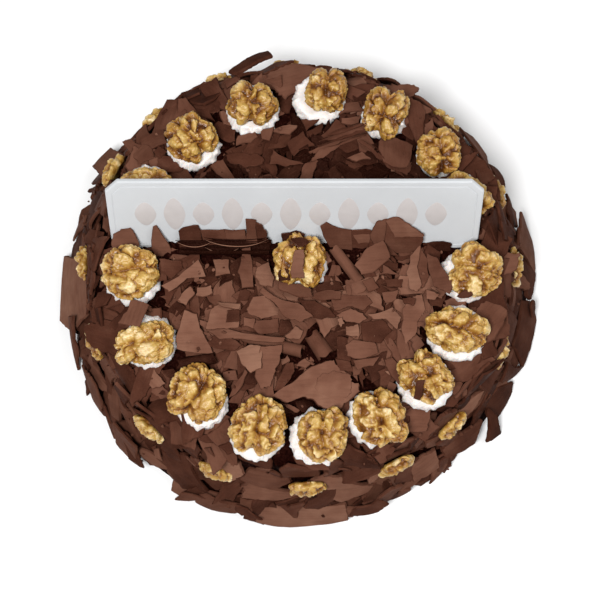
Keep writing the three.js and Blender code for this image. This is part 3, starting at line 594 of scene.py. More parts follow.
# Colours along a value, by the place on it
RAMPS = {
    "face": [(0.0, DARK), (0.35, PLAIN), (0.72, MILK), (1.0, PALE)],
    "face_streaks": [(0.3, (0.72, 0.7, 0.69)), (0.55, WHITE)],
    "break": [(0.0, DARK), (0.4, PLAIN), (1.0, MILK)],
    "crumbs": [
        (0.3, (0.004, 0.0006, 0.0003)),
        (0.55, (0.016, 0.0032, 0.002)),
        (0.75, (0.05, 0.014, 0.009)),
    ],
    "crumb_clumps": [(0.3, (0.6, 0.56, 0.55)), (0.7, WHITE)],
    # The kernel's palest stop has the colour of a highlight: painted highlight on the tops of the lobes
    "kernel": [
        (0.0, (0.07, 0.018, 0.002)),
        (0.22, (0.2, 0.072, 0.009)),
        (0.5, (0.38, 0.195, 0.034)),
        (0.78, (0.54, 0.345, 0.095)),
        (1.0, (0.78, 0.6, 0.32)),
    ],
    "kernel_veins": [(0.32, (0.66, 0.6, 0.52)), (0.55, WHITE)],
    "cream": [(0.3, (0.76, 0.7, 0.66)), (0.7, (0.86, 0.82, 0.8))],
    "plaque": [(0.3, (0.545, 0.56, 0.575)), (0.7, (0.58, 0.595, 0.61))],
    "ornament": [(0.3, (0.51, 0.475, 0.465)), (0.7, (0.54, 0.505, 0.495))],
}
# The same in grey
GREYS = {
    "face_dust": [(0.5, 0.0), (0.8, 1.0)],
    "face_roughness": [(0.3, 0.42), (0.7, 0.62)],
    "crumb_roughness": [(0.4, 0.75), (0.68, 0.4)],
    "kernel_skin": [(0.52, 0.0), (0.68, 1.0)],
    "kernel_roughness": [(0.3, 0.24), (0.7, 0.42)],
    "plaque_roughness": [(0.3, 0.34), (0.7, 0.46)],
}
# Noises: scale, detail, roughness and, for the veins, distortion
NOISES = {
    "face_streaks": (1.0, 4.0, 0.6),
    "face_cloud": (0.16, 3.0, 0.5),
    # Painted shading: a broad gradient across a shard's face
    "face_painted_shading": (0.045, 2.0, 0.5),
    "face_dust": (2.4, 4.0, 0.7),
    "face_roughness": (160.0, 3.0, 0.55),
    "face_scratches": (3.2, 3.0, 0.55),
    "break_chips": (0.9, 4.0, 0.65),
    # Painted highlight and shade along the rims of shards
    "break_painted_light": (0.1, 2.0, 0.5),
    "crumb_grains": (700.0, 4.0, 0.7),
    "crumb_clumps": (130.0, 3.0, 0.6),
    "kernel_patches": (120.0, 4.0, 0.6),
    "kernel_veins": (420.0, 4.0, 0.6, 0.8),
    "kernel_skin": (75.0, 3.0, 0.5),
    "cream_froth": (900.0, 3.0, 0.6),
    "cream_folds": (160.0, 3.0, 0.5),
    "plaque_cloud": (40.0, 4.0, 0.55),
    "plaque_grain": (500.0, 3.0, 0.6),
    "ornament_cloud": (220.0, 3.0, 0.55),
}
# Bumps made of those: strength, and depth in metres
BUMPS = {
    "face_streaks": (0.35, 0.00045),
    "face_cloud": (0.25, 0.0012),
    "face_scratches": (0.25, 0.0002),
    "break_chips": (0.6, 0.0006),
    "crumb_grains": (0.8, 0.0008),
    "crumb_clumps": (0.6, 0.002),
    "kernel_patches": (0.35, 0.0012),
    "kernel_veins": (0.7, 0.0007),
    "cream_froth": (0.25, 0.0003),
    "cream_folds": (0.3, 0.002),
    "plaque_cloud": (0.15, 0.001),
    "plaque_grain": (0.12, 0.0001),
    "ornament_cloud": (0.3, 0.0003),
}
# How much of each noise or colour goes into a material, and the values that noises are measured from
SHARES = {
    "face_cloud": 0.26,
    "face_painted_shading": 0.55,
    "face_streaks": 0.6,
    "face_dust": 0.22,
    "break_tone": 0.8,
    "break_chips": 0.2,
    "break_painted_light": 0.9,
    "crumb_clumps": 1.0,
    "kernel_patches": 0.55,
    "kernel_skin": 0.35,
    "kernel_veins": 0.55,
}
FACE_OFFSET = -0.13
MIDDLES = {"face_painted_shading": 0.5, "break_painted_light": 0.45, "kernel_patches": 0.5}

# What is the same all over each material
LEVELS = {
    "face": {"Specular IOR Level": 0.006},
    "break": {"Specular IOR Level": 0.004, "Roughness": 0.7},
    "crumbs": {"Specular IOR Level": 0.01},
    "kernel": {
        "Specular IOR Level": 0.5,
        "Subsurface Weight": 0.12,
        "Subsurface Radius": (0.004, 0.002, 0.0008),
        "Subsurface Scale": 0.5,
    },
    "cream": {
        "Roughness": 0.55,
        "Specular IOR Level": 0.35,
        "Subsurface Weight": 0.3,
        "Subsurface Radius": (0.006, 0.004, 0.003),
        "Subsurface Scale": 0.5,
    },
    "plaque": {
        "Specular IOR Level": 0.4,
        "Subsurface Weight": 0.1,
        "Subsurface Radius": (0.003, 0.003, 0.003),
    },
    "ornament": {"Roughness": 0.5},
    "floor": {"Base Color": FLOOR_COLOUR, "Roughness": 0.9},
}

# How long, wide and deep the streaks of a face run along its grain
STREAK_SCALE = (0.07, 0.75, 0.5)


def new_material(name, levels):
    """A material with its node tree and its shader, which has the levels of that name."""
    material = bpy.data.materials.new(name)
    material.use_nodes = True
    shader = material.node_tree.nodes["Principled BSDF"]
    for socket, level in LEVELS[levels].items():
        shader.inputs[socket].default_value = level
    return material, material.node_tree, shader


def feed(tree, shader, sources):
    for socket, source in sources.items():
        tree.links.new(source, shader.inputs[socket])


def node(tree, kind, **values):
    made = tree.nodes.new(kind)
    for key, value in values.items():
        made.inputs[key].default_value = value
    return made


def ramp(tree, source, stops):
    made = tree.nodes.new("ShaderNodeValToRGB")
    elements = made.color_ramp.elements
    while len(elements) < len(stops):
        elements.new(0.5)
    for element, (place, colour) in zip(elements, stops):
        element.position = place
        element.color = (*colour, 1)
    tree.links.new(source, made.inputs[0])
    return made.outputs[0]


def grey_ramp(tree, source, name):
    return ramp(tree, source, [(place, (level,) * 3) for place, level in GREYS[name]])


def math_node(tree, operation, a, b):
    made = tree.nodes.new("ShaderNodeMath")
    made.operation = operation
    for socket, value in zip(made.inputs, (a, b)):
        if isinstance(value, float):
            socket.default_value = value
        else:
            tree.links.new(value, socket)
    return made.outputs[0]


def plus_share(tree, value, name, other):
    """The value plus the other one's share."""
    return math_node(tree, "ADD", value, math_node(tree, "MULTIPLY", other, SHARES[name]))


def from_middle(tree, name, source):
    return math_node(tree, "SUBTRACT", source, MIDDLES[name])


def mix_colour(tree, blend, share, a, b):
    made = tree.nodes.new("ShaderNodeMix")
    made.data_type = "RGBA"
    made.blend_type = blend
    sockets = [s for s in made.inputs if s.type == "RGBA"]
    for socket, value in zip((made.inputs["Factor"], *sockets), (share, a, b)):
        if isinstance(value, bpy.types.NodeSocket):
            tree.links.new(value, socket)
        else:
            socket.default_value = value if isinstance(value, float) else (*value, 1)
    return next(s for s in made.outputs if s.type == "RGBA")


def noise(tree, vector, name):
    values = dict(zip(("Scale", "Detail", "Roughness", "Distortion"), NOISES[name]))
    made = node(tree, "ShaderNodeTexNoise", **values)
    tree.links.new(vector, made.inputs["Vector"])
    return made.outputs["Fac"]


def bump(tree, name, height, normal=None):
    strength, distance = BUMPS[name]
    made = node(tree, "ShaderNodeBump", Strength=strength, Distance=distance)
    tree.links.new(height, made.inputs["Height"])
    if normal is not None:
        tree.links.new(normal, made.inputs["Normal"])
    return made.outputs["Normal"]


def stretched(tree, vector, scale):
    made = node(tree, "ShaderNodeMapping", Scale=scale)
    tree.links.new(vector, made.inputs["Vector"])
    return made.outputs["Vector"]


def attribute(tree, name, output="Fac"):
    made = tree.nodes.new("ShaderNodeAttribute")
    made.attribute_name = name
    return made.outputs[output]


def object_place(tree):
    return tree.nodes.new("ShaderNodeTexCoord").outputs["Object"]


def chocolate_face():
    """The smooth face of a shard: its own tone, streaks along its grain, bloom and scratches, and a broad
    painted shading across it.
    """
    material, tree, shader = new_material("chocolate_face", "face")
    grain = attribute(tree, "grain", "Vector")
    streaks = noise(tree, stretched(tree, grain, STREAK_SCALE), "face_streaks")
    cloud = noise(tree, grain, "face_cloud")
    # A broad painted shading, light to dark across the face, in place of the light falling on tilted
    # plates
    broad = from_middle(tree, "face_painted_shading", noise(tree, grain, "face_painted_shading"))
    tone = math_node(tree, "ADD", attribute(tree, "tone"), FACE_OFFSET)
    tone = plus_share(tree, tone, "face_cloud", cloud)
    tone = plus_share(tree, tone, "face_painted_shading", broad)
    shade = ramp(tree, streaks, RAMPS["face_streaks"])
    colour = mix_colour(tree, "MULTIPLY", SHARES["face_streaks"], ramp(tree, tone, RAMPS["face"]), shade)
    dust = grey_ramp(tree, noise(tree, grain, "face_dust"), "face_dust")
    dust = math_node(tree, "MULTIPLY", dust, SHARES["face_dust"])
    rough = noise(tree, object_place(tree), "face_roughness")
    low = bump(tree, "face_streaks", streaks, bump(tree, "face_cloud", cloud))
    feed(tree, shader, {
        "Base Color": mix_colour(tree, "MIX", dust, colour, PALE),
        "Roughness": grey_ramp(tree, rough, "face_roughness"),
        "Normal": bump(tree, "face_scratches", noise(tree, grain, "face_scratches"), low),
    })
    return material


def chocolate_break():
    """The broken rim of a shard, rougher than its face and darker, with pale stretches of painted
    highlight and darker ones of painted shade.
    """
    material, tree, shader = new_material("chocolate_break", "break")
    grain = attribute(tree, "grain", "Vector")
    chips = noise(tree, grain, "break_chips")
    # Painted highlight and shade along the rim: paler where an edge would catch the light, darker
    # elsewhere
    light = from_middle(tree, "break_painted_light", noise(tree, grain, "break_painted_light"))
    tone = math_node(tree, "MULTIPLY", attribute(tree, "tone"), SHARES["break_tone"])
    tone = plus_share(tree, tone, "break_chips", chips)
    tone = plus_share(tree, tone, "break_painted_light", light)
    feed(tree, shader, {
        "Base Color": ramp(tree, tone, RAMPS["break"]),
        "Normal": bump(tree, "break_chips", chips),
    })
    return material


def crumb_material():
    """The dark coat of crumbs under the shards, grainy, with a few moist glints."""
    material, tree, shader = new_material("crumb_coat", "crumbs")
    place = object_place(tree)
    grains = noise(tree, place, "crumb_grains")
    clumps = noise(tree, place, "crumb_clumps")
    colour = ramp(tree, grains, RAMPS["crumbs"])
    shade = ramp(tree, clumps, RAMPS["crumb_clumps"])
    feed(tree, shader, {
        "Base Color": mix_colour(tree, "MULTIPLY", SHARES["crumb_clumps"], colour, shade),
        "Roughness": grey_ramp(tree, grains, "crumb_roughness"),
        "Normal": bump(tree, "crumb_grains", grains, bump(tree, "crumb_clumps", clumps)),
    })
    return material


def walnut_material():
    """Golden kernel: amber in the folds and pale on the ridges, partly its own skin and partly painted
    shade and highlight, with patches of brown skin.
    """
    material, tree, shader = new_material("walnut_kernel", "kernel")
    place = object_place(tree)
    patches = noise(tree, place, "kernel_patches")
    veins = noise(tree, place, "kernel_veins")
    level = from_middle(tree, "kernel_patches", patches)
    level = plus_share(tree, attribute(tree, "fold"), "kernel_patches", level)
    skin = grey_ramp(tree, noise(tree, place, "kernel_skin"), "kernel_skin")
    skin = math_node(tree, "MULTIPLY", skin, SHARES["kernel_skin"])
    colour = mix_colour(tree, "MIX", skin, ramp(tree, level, RAMPS["kernel"]), KERNEL_SKIN)
    shade = ramp(tree, veins, RAMPS["kernel_veins"])
    feed(tree, shader, {
        "Base Color": mix_colour(tree, "MULTIPLY", SHARES["kernel_veins"], colour, shade),
        "Roughness": grey_ramp(tree, veins, "kernel_roughness"),
        "Normal": bump(tree, "kernel_veins", veins, bump(tree, "kernel_patches", patches)),
    })
    return material


def cream_material():
    """Whipped cream: soft folds under a fine froth."""
    material, tree, shader = new_material("whipped_cream", "cream")
    place = object_place(tree)
    froth = noise(tree, place, "cream_froth")
    folds = noise(tree, place, "cream_folds")
    feed(tree, shader, {
        "Base Color": ramp(tree, folds, RAMPS["cream"]),
        "Normal": bump(tree, "cream_froth", froth, bump(tree, "cream_folds", folds)),
    })
    return material


def white_chocolate():
    """The plaque: cool white, satin, with faint clouding from the mould."""
    material, tree, shader = new_material("white_chocolate", "plaque")
    place = object_place(tree)
    cloud = noise(tree, place, "plaque_cloud")
    grain = noise(tree, place, "plaque_grain")
    feed(tree, shader, {
        "Base Color": ramp(tree, cloud, RAMPS["plaque"]),
        "Roughness": grey_ramp(tree, grain, "plaque_roughness"),
        "Normal": bump(tree, "plaque_grain", grain, bump(tree, "plaque_cloud", cloud)),
    })
    return material


def beige_chocolate():
    material, tree, shader = new_material("beige_chocolate", "ornament")
    cloud = noise(tree, object_place(tree), "ornament_cloud")
    feed(tree, shader, {
        "Base Color": ramp(tree, cloud, RAMPS["ornament"]),
        "Normal": bump(tree, "ornament_cloud", cloud),
    })
    return material


# The bare cake

# Steps round the body, spacing of its rings, and radii of the innermost ones below and above
BODY_STEPS = 420
BODY_SPACING = 1.7
UNDERSIDE_RADIUS = 60
INNERMOST_RADIUS = 4
# How wide the slope at the edge of the bed is, and how far inside that edge the bed counts as level
BED_SLOPE = 4
BED_MARGIN = 2
# How far inside the top's rim the side's waves still reach
UNEVEN_MARGIN = 10
# Grains and clumps: height, wavelength and number of waves
GRAINS = [(0.55, 3.4, 16), (0.4, 1.7, 16), (0.5, 9, 16)]
GRAIN_RANGE = (-1.0, 0.9)
GRAINS_FROM_Z = 0.5
# The height from which the grains turn upwards, and over which they do
TURN_FROM_Z = 60
TURN_HEIGHT = 8


def side_radius(z):
    profile = np.array(SIDE_PROFILE)
    return float(np.interp(z, profile[:, 1], profile[:, 0])) if z <= TOP_Z else TOP_RADIUS


def unevenness(angle, z):
    """How far the side stands out: three broad waves round the cake and seven narrow ones."""
    broad = np.sin(3 * angle + z / 30)
    narrow = np.sin(7 * angle + 1.3 - z / 20)
    return SIDE_UNEVENNESS * (broad + 0.6 * narrow) * 0.6


def bed_height(radius):
    return BED_HEIGHT if radius < BED_RADIUS - BED_MARGIN else 0.0


def crumb_coat(material):
    """The body of the cake under the shards, with grains and clumps in its surface."""
    rng = np.random.default_rng(SEEDS["body"])
    bed_z = TOP_Z + BED_HEIGHT
    slope = [(BED_RADIUS, TOP_Z), (BED_RADIUS - BED_SLOPE, bed_z)]
    bed = [SIDE_PROFILE[-1], *slope, (INNERMOST_RADIUS, bed_z)]
    side, top = (smooth_steps(line, BODY_SPACING) for line in (SIDE_PROFILE, bed))
    profile = np.concatenate([[(UNDERSIDE_RADIUS, 0)], side, top[1:]])
    radius, z = (np.repeat(column, BODY_STEPS) for column in profile.T)
    angle = np.tile(full_turn(BODY_STEPS), len(profile))
    outer = radius > TOP_RADIUS - UNEVEN_MARGIN
    radius = radius + np.where(outer & (z > 0), unevenness(angle, z), 0)
    points = round_points(radius, angle, z)
    grain = np.clip(fields_sum(points, rng, *GRAINS), *GRAIN_RANGE)
    upwards = np.clip((z - TURN_FROM_Z) / TURN_HEIGHT, 0, 1)
    points += round_points(1 - upwards, angle, upwards) * (grain * (z > GRAINS_FROM_Z))[:, None]
    points, triangles = stacked(points.reshape(-1, BODY_STEPS, 3), (0, 0, 0), (0, 0, bed_z))
    belongs(make_piece("crumb_coat", points, triangles, [material]), "chocolate_coating", "cake")


# Shards

PLATE_TOPOLOGY = {}
# The slope along a plate's rim, as a share of its thickness and at most of its half width
BEVEL = (0.28, 0.12)
RIM_ROUGHNESS = 0.06
STEP_SHIFT = 0.12
GRAIN_SHIFT = 200
# How plates of each kind are broken: parts to a side, rings within the rim, depth of the breaks, and bends
BREAKS = {
    "source": {"parts": 6, "inner": 2, "jag": 0.16},
    "big": {"parts": 8, "inner": 4, "jag": 0.22, "bow": BIG_SHARD_BOW, "curl": 0.4},
    "placed": {"parts": 5, "inner": 2, "jag": 0.17, "bulge": 0.04},
    "foot": {"inner": 2, "curl": 0.2},
    "front": {"inner": 4, "jag": 0.22, "bow": FRONT_PLATE["bow"]},
    "split": {"parts": 6, "inner": 3, "jag": 0.3},
}
# Loose shards: shift of their corners, girth in lengths, spacing and greatest number of the breaks in a
# side, lengths from which they have one ring more within the rim, depth of the breaks on the shortest
# and its growth with the length, and how much they bow and twist by their length
CORNER_SHIFT = 0.085
GIRTH = 3.2
BREAK_SPACING = 2.6
MOST_BREAKS = 6
RING_LENGTHS = (8, 13)
BREAK_DEPTH = (0.07, 0.009)
SHARD_BULGE = 0.05
BOW_RANGE = (-0.4, 1.5)
BOW_LENGTH = 25
TWIST_SPREAD = 0.35
TWIST_LENGTH = 20
# The middle of the plaque's foot, and how far past its ends and below its foot shards keep clear of it
PLAQUE_FOOT = (PLAQUE["x"], PLAQUE["y"], TOP_Z)
PLAQUE_MARGIN = 1
BELOW_PLAQUE = 8


def plate_topology(segments, inner):
    key = (segments, inner)
    if key not in PLATE_TOPOLOGY:
        triangles, bands = ring_triangles(2 * inner + 3, segments)
        rim = (bands >= inner) & (bands < inner + 2)
        PLATE_TOPOLOGY[key] = triangles, rim.astype(int)
    return PLATE_TOPOLOGY[key]


def broken_outline(corners, parts, jag, bulge, rng):
    """The corners' outline with each side bulged a little and broken into uneven steps."""
    following = np.roll(corners, -1, axis=0)
    share = (np.arange(parts) / parts)[None, :, None]
    outline = corners[:, None] * (1 - share) + following[:, None] * share
    side = following - corners
    span = np.maximum(np.linalg.norm(side, axis=1), 1e-6)
    across = np.stack([side[:, 1], -side[:, 0]], 1) / span[:, None]
    swell = rng.normal(scale=bulge, size=(len(corners), 1, 1)) * span[:, None, None]
    arch = np.sin(share * math.pi)
    depth = rng.normal(scale=jag, size=(len(corners), parts, 1)) * (share > 0) + swell * arch
    along = rng.normal(scale=STEP_SHIFT / parts, size=depth.shape) * side[:, None]
    return (outline + across[:, None] * depth + along * (share > 0)).reshape(-1, 2)


def plate(corners, thickness, rng, inner, parts=4, jag=0.15, bulge=0.03, bow=0.0, curl=0.0, twist=0.0):
    """A broken plate of chocolate in its own frame: points, triangles and which of them are its rim."""
    corners = np.asarray(corners, float)
    reach, span = np.abs(corners).max(0)
    outline = broken_outline(corners, parts, jag, bulge, rng)
    middle = outline.mean(0)
    bevel = min(BEVEL[0] * thickness, BEVEL[1] * span)
    scale = 1 - bevel / np.maximum(np.linalg.norm(outline - middle, axis=1), bevel * 2)[:, None]
    small = middle + (outline - middle) * scale
    inside = [middle + (small - middle) * share for share in np.linspace(0, 1, inner + 2)[1:-1]]
    half = thickness / 2
    rough = outline + rng.normal(scale=RIM_ROUGHNESS * thickness, size=outline.shape)
    flat = [*inside, small, rough, small, *inside[::-1]]
    level = [-half] * (inner + 1) + [0.0] + [half] * (inner + 1)
    rings = np.concatenate([np.c_[ring, np.full(len(ring), z)] for ring, z in zip(flat, level)])
    points = np.concatenate([[[*middle, -half]], rings, [[*middle, half]]])
    x, y = points[:, 0] / reach, points[:, 1] / span
    points[:, 2] += twist * x * y - bow * x**2 - curl * y**2
    triangles, rim = plate_topology(len(outline), inner)
    return points, triangles, rim


def shard(kind, length, width, thickness, rng, mirrored=False, curl=0.0):
    """A shard with one of the outlines, its corners moved a little."""
    corners = np.array(OUTLINES[kind]) + rng.normal(scale=CORNER_SHIFT, size=(len(OUTLINES[kind]), 2))
    if mirrored:
        corners = corners[::-1] * (1, -1)
    side = length * GIRTH / len(corners)
    return plate(
        corners * (length, width),
        thickness,
        rng,
        parts=int(np.clip(round(side / BREAK_SPACING), 1, MOST_BREAKS)),
        inner=sum(length >= limit for limit in RING_LENGTHS),
        jag=BREAK_DEPTH[0] + BREAK_DEPTH[1] * length,
        bulge=SHARD_BULGE,
        bow=rng.uniform(*BOW_RANGE) * length / BOW_LENGTH,
        curl=curl,
        twist=rng.normal(scale=TWIST_SPREAD) * length / TWIST_LENGTH,
    )


def face_basis(normal, turn):
    """Columns: the long side, turned in the face from the level, the side across it and the normal."""
    normal = np.asarray(normal, float) / np.linalg.norm(normal)
    level = np.array([-normal[1], normal[0], 0.0])
    level /= np.linalg.norm(level)
    up = np.cross(normal, level)
    long = level * math.cos(turn) + up * math.sin(turn)
    return np.stack([long, np.cross(normal, long), normal], 1)


def heading_basis(normal, heading):
    """A basis whose long side points to the heading as seen from above."""
    normal = np.asarray(normal, float) / np.linalg.norm(normal)
    long = np.array([*polar(1, heading), 0.0])
    long -= normal * (long @ normal)
    long /= np.linalg.norm(long)
    return np.stack([long, np.cross(normal, long), normal], 1)


def leaning_normal(angle, lean):
    return np.array([math.cos(angle) * math.cos(lean), math.sin(angle) * math.cos(lean), math.sin(lean)])


def clears_plaque(points):
    along, up, depth = ((points - PLAQUE_FOOT) @ plaque_basis()).T
    near = np.abs(along) < PLAQUE["length"] / 2 + PLAQUE_MARGIN
    near &= (up > -BELOW_PLAQUE) & (up < PLAQUE["height"])
    half = PLAQUE["thickness"] / 2
    return not near.any() or depth[near].min() > half or depth[near].max() < -half


def add_piece(heap, made, basis, place, tone, rng):
    """Adds a plate to the heap where it fits, and says whether it did."""
    points, triangles, rim = made
    world = points @ basis.T + np.asarray(place)
    trimmed = np.clip(world, LOWEST, HIGHEST)
    if np.abs(world - trimmed).max() > MOST_TRIMMED or not clears_plaque(trimmed):
        return False
    heap.add(trimmed, triangles, rim, tone, points + rng.uniform(-GRAIN_SHIFT, GRAIN_SHIFT, 3))
    return True


def lifted(made, basis, place):
    """The place of a plate, raised where its lowest point would be under the cake's foot."""
    lowest = (made[0] @ basis.T)[:, 2].min() + place[2]
    return np.array(place) + (0, 0, max(0.0, SHARD_LOWEST_Z - lowest))


def face_points(length, width, share, z=0.0):
    """Points spread over a share of a plate's face, in its own frame."""
    spread = DENSE_DISC * (share * length, share * width)
    return np.c_[spread, np.full(len(spread), z)]


# The source's loose shards. Two numbers are the least and the most that a draw adds to it; one is the
# width over which a value is drawn.
SOURCE_CORNERS = 5
CORNER_SWING = 0.5
CORNER_REACH = (0.76, 0.28)
TOP_SHARD = {
    "bearing": (0, 0.2), "length": (13, 14), "skew": 1.5, "share": (0.48, 0.4), "up": (0.2, 2),
    "lean": (83, -19),
}
RIM_SHARD = {
    "bearing": (0, 0.5), "length": (18, 12), "share": (0.4, 0.35), "out": (-1, 2), "up": (-3, 2),
    "heading": 0.5, "lean": (38, 34), "turn": 1.6,
}
SIDE_SHARD = {
    "bearing": (0, 0.4), "length": (0.72, 0.5), "share": (0.5, 0.3), "up": 6, "out": (1.2, 2.4),
    "lean": 14,
}


def source_corners(draw, length, width):
    """The corners of a loose shard on an uneven ring."""
    corners = []
    for k in range(SOURCE_CORNERS):
        angle = (k + draw.about(CORNER_SWING)) / SOURCE_CORNERS * 2 * math.pi
        reach = draw.over(*CORNER_REACH)
        corners.append((length / 2 * reach * math.cos(angle), width / 2 * reach * math.sin(angle)))
    return corners


def is_by_big_shard(bearing, z):
    for big_bearing, big_z, *_ in BIG_SHARDS:
        turn = abs(bearing - big_bearing * DEG) % (2 * math.pi)
        along = min(turn, 2 * math.pi - turn) * WAIST_RADIUS
        if math.hypot(along, z - big_z) < BIG_SHARD_SPACING:
            return True
    return False


def source_top_shards(draw):
    """The loose shards that the source has on top, in its order: place, normal, turn and corners."""
    shards, sizes = [], TOP_SHARD
    for i in range(TOP_SHARDS):
        reach = SIDE_PROFILE[-1][0] * math.sqrt((i + 0.5) / TOP_SHARDS)
        bearing = draw.over(*sizes["bearing"], i * GOLDEN_ANGLE)
        shortest, longer = sizes["length"]
        length = shortest + longer * draw() ** sizes["skew"]
        width = length * draw.over(*sizes["share"])
        place = (*polar(reach, bearing), draw.over(*sizes["up"], TOP_Z + bed_height(reach)))
        heading = 2 * math.pi * draw()
        normal = leaning_normal(heading, draw.over(*sizes["lean"]) * DEG)
        turn = 2 * math.pi * draw()
        shards.append((place, normal, turn, source_corners(draw, length, width)))
    return shards


def source_rim_shards(draw):
    shards, sizes = [], RIM_SHARD
    for i in range(RIM_SHARDS):
        bearing = draw.over(*sizes["bearing"], i) / RIM_SHARDS * 2 * math.pi
        length = draw.over(*sizes["length"])
        width = length * draw.over(*sizes["share"])
        reach = draw.over(*sizes["out"], TOP_RADIUS)
        place = (*polar(reach, bearing), draw.over(*sizes["up"], TOP_Z))
        heading = bearing + draw.about(sizes["heading"])
        normal = leaning_normal(heading, draw.over(*sizes["lean"]) * DEG)
        turn = draw.about(sizes["turn"])
        shards.append((place, normal, turn, source_corners(draw, length, width)))
    return shards


def source_side_shards(draw):
    """The loose shards on the side, in rows that are set off by half a shard each."""
    shards, sizes = [], SIDE_SHARD
    for number, (row_z, count, row_lean, row_length) in enumerate(SIDE_ROWS):
        for i in range(count):
            bearing = draw.over(*sizes["bearing"], i + 0.5 * (number % 2)) / count * 2 * math.pi
            length = row_length * draw.over(*sizes["length"])
            width = length * draw.over(*sizes["share"])
            z = row_z + draw.about(sizes["up"])
            place = (*polar(draw.over(*sizes["out"], side_radius(z)), bearing), z)
            normal = leaning_normal(bearing, (row_lean + draw.about(sizes["lean"])) * DEG)
            turn = math.pi * draw()
            corners = source_corners(draw, length, width)
            if not is_by_big_shard(bearing, z):
                shards.append((place, normal, turn, corners))
    return shards


# How much of a plate raises the bed or closes it, as a share of its length and width each way
RAISED_SHARE = 0.48
LAID_SHARE = 0.46
CLOSED_SHARE = 0.42
SOURCE_CURLS = (-0.2, 0.6)
SMALL_SIDE_SHARD = {"thickness": 1.4, "sink": 0.9}


def lay_at(heap, bed, make, basis, place, size, thickness, tone, rng):
    """Adds a plate where the source has it, broken anew until it fits, with the bed raised to its face;
    size is length and width."""
    for _ in range(FITTING_TRIES):
        made = make()
        raised = lifted(made, basis, place)
        if add_piece(heap, made, basis, raised, tone, rng):
            face = face_points(*size, RAISED_SHARE, thickness / 2)
            bed.raise_to(*bed.coordinates(face @ basis.T + raised))
            return


def lay_source_shards(heap, bed, shards, thickness, tones, rng):
    for place, normal, turn, corners in shards:
        curl = rng.uniform(*SOURCE_CURLS)
        make = partial(plate, corners, thickness, rng, **BREAKS["source"], curl=curl)
        size = np.ptp(np.array(corners), axis=0)
        lay_at(heap, bed, make, face_basis(normal, turn), place, size, thickness, rng.uniform(*tones), rng)


def big_shard_frame(bearing, z, off, lean, turn):
    angle = bearing * DEG
    place = (*polar(side_radius(z) + off, angle), z)
    return place, face_basis(leaning_normal(angle, lean * DEG), turn * DEG)


def lay_big_shards(heap, bed, rng):
    for bearing, z, off, lean, turn, length, width, outline, tone in BIG_SHARDS:
        corners = np.array(OUTLINES[outline]) * (length, width)
        make = partial(plate, corners, BIG_SHARD_THICKNESS, rng, **BREAKS["big"])
        place, basis = big_shard_frame(bearing, z, off, lean, turn)
        lay_at(heap, bed, make, basis, place, (length, width), BIG_SHARD_THICKNESS, tone, rng)


def lay_small_side_shards(heap, bed, rng):
    thickness, sink = SMALL_SIDE_SHARD.values()
    for bearing, z, heading, length, width, outline, tone in SMALL_SIDE_SHARDS:
        made = shard(outline, length, width, thickness, rng)
        spot = bearing * DEG * bed.RADIUS, bed.way_up(z), heading * DEG
        bed.lay(heap, made, spot, (length, width, thickness), tone, rng, ANYWHERE, sink)


# How much of a plate may be over closed ground where it may lie anywhere
ANYWHERE = 1.1
# The share of the heights under a plate that it lies above, its steepest slope and the slope's chance part
SINK = 0.65
STEEPEST = 0.36
SLOPE_SPREAD = 0.06


class Bed:
    """How high things lie over a surface, on a grid of one millimetre, and where they may not lie."""

    def __init__(self, low, size, wraps, ceiling):
        self.low, self.size, self.wraps, self.ceiling = low, size, wraps, ceiling
        self.height = np.zeros(size)
        self.closed = np.zeros(size, bool)

    def cells(self, u, v):
        i = np.rint(u - self.low[0]).astype(int)
        i = i % self.size[0] if self.wraps else np.clip(i, 0, self.size[0] - 1)
        return i, np.clip(np.rint(v - self.low[1]).astype(int), 0, self.size[1] - 1)

    def grid(self):
        ways = (low + np.arange(n, dtype=float) for low, n in zip(self.low, self.size))
        return np.meshgrid(*ways, indexing="ij")

    def cover(self, where, z):
        """Closes a part for loose shards; those that the photograph places may lie on it at z."""
        self.closed |= where
        self.height = np.where(where, np.maximum(self.height, z), self.height)

    def raise_to(self, u, v, height):
        cells = self.cells(u, v)
        np.maximum.at(self.height, cells, height)

    def rest(self, spot, size, limit, sink, steepest, rng):
        """The height and slopes at which a plate comes to rest, or None where it can't lie."""
        u, v, heading = spot
        reach = DISC * (size[0] / 2, size[1] / 2) @ turn_matrix(heading)
        cells = self.cells(u + reach[:, 0], v + reach[:, 1])
        heights, closed = self.height[cells], self.closed[cells]
        if closed.mean() > limit:
            return None
        if not closed[0]:
            reach, heights = reach[~closed], heights[~closed]
        system = np.c_[reach, np.ones(len(reach))]
        slope = np.linalg.lstsq(system, heights, rcond=None)[0][:2]
        slope = slope + rng.normal(scale=SLOPE_SPREAD, size=2)
        steep = np.linalg.norm(slope)
        if steep > steepest:
            slope *= steepest / steep
        return np.quantile(heights - reach @ slope, sink), slope

    def lay(self, heap, made, spot, size, tone, rng, limit, sink=SINK, steepest=STEEPEST):
        """Lays a plate on what lies there already, and says whether it could; the spot is its place
        and heading, the size its length, width and thickness."""
        found = self.rest(spot, size, limit, sink, steepest, rng)
        if found is None or found[0] > self.ceiling and limit < 1:
            return False
        level, slope = found
        u, v, heading = spot
        length, width, thickness = size
        place, axes = self.frame_at(u, v, level + thickness / 2)
        basis = axes @ heading_basis((-slope[0], -slope[1], 1.0), heading)
        if not add_piece(heap, made, basis, lifted(made, basis, place), tone, rng):
            return False
        reach = DENSE_DISC * (LAID_SHARE * length, LAID_SHARE * width) @ turn_matrix(heading)
        self.raise_to(u + reach[:, 0], v + reach[:, 1], level + reach @ slope + thickness)
        return True


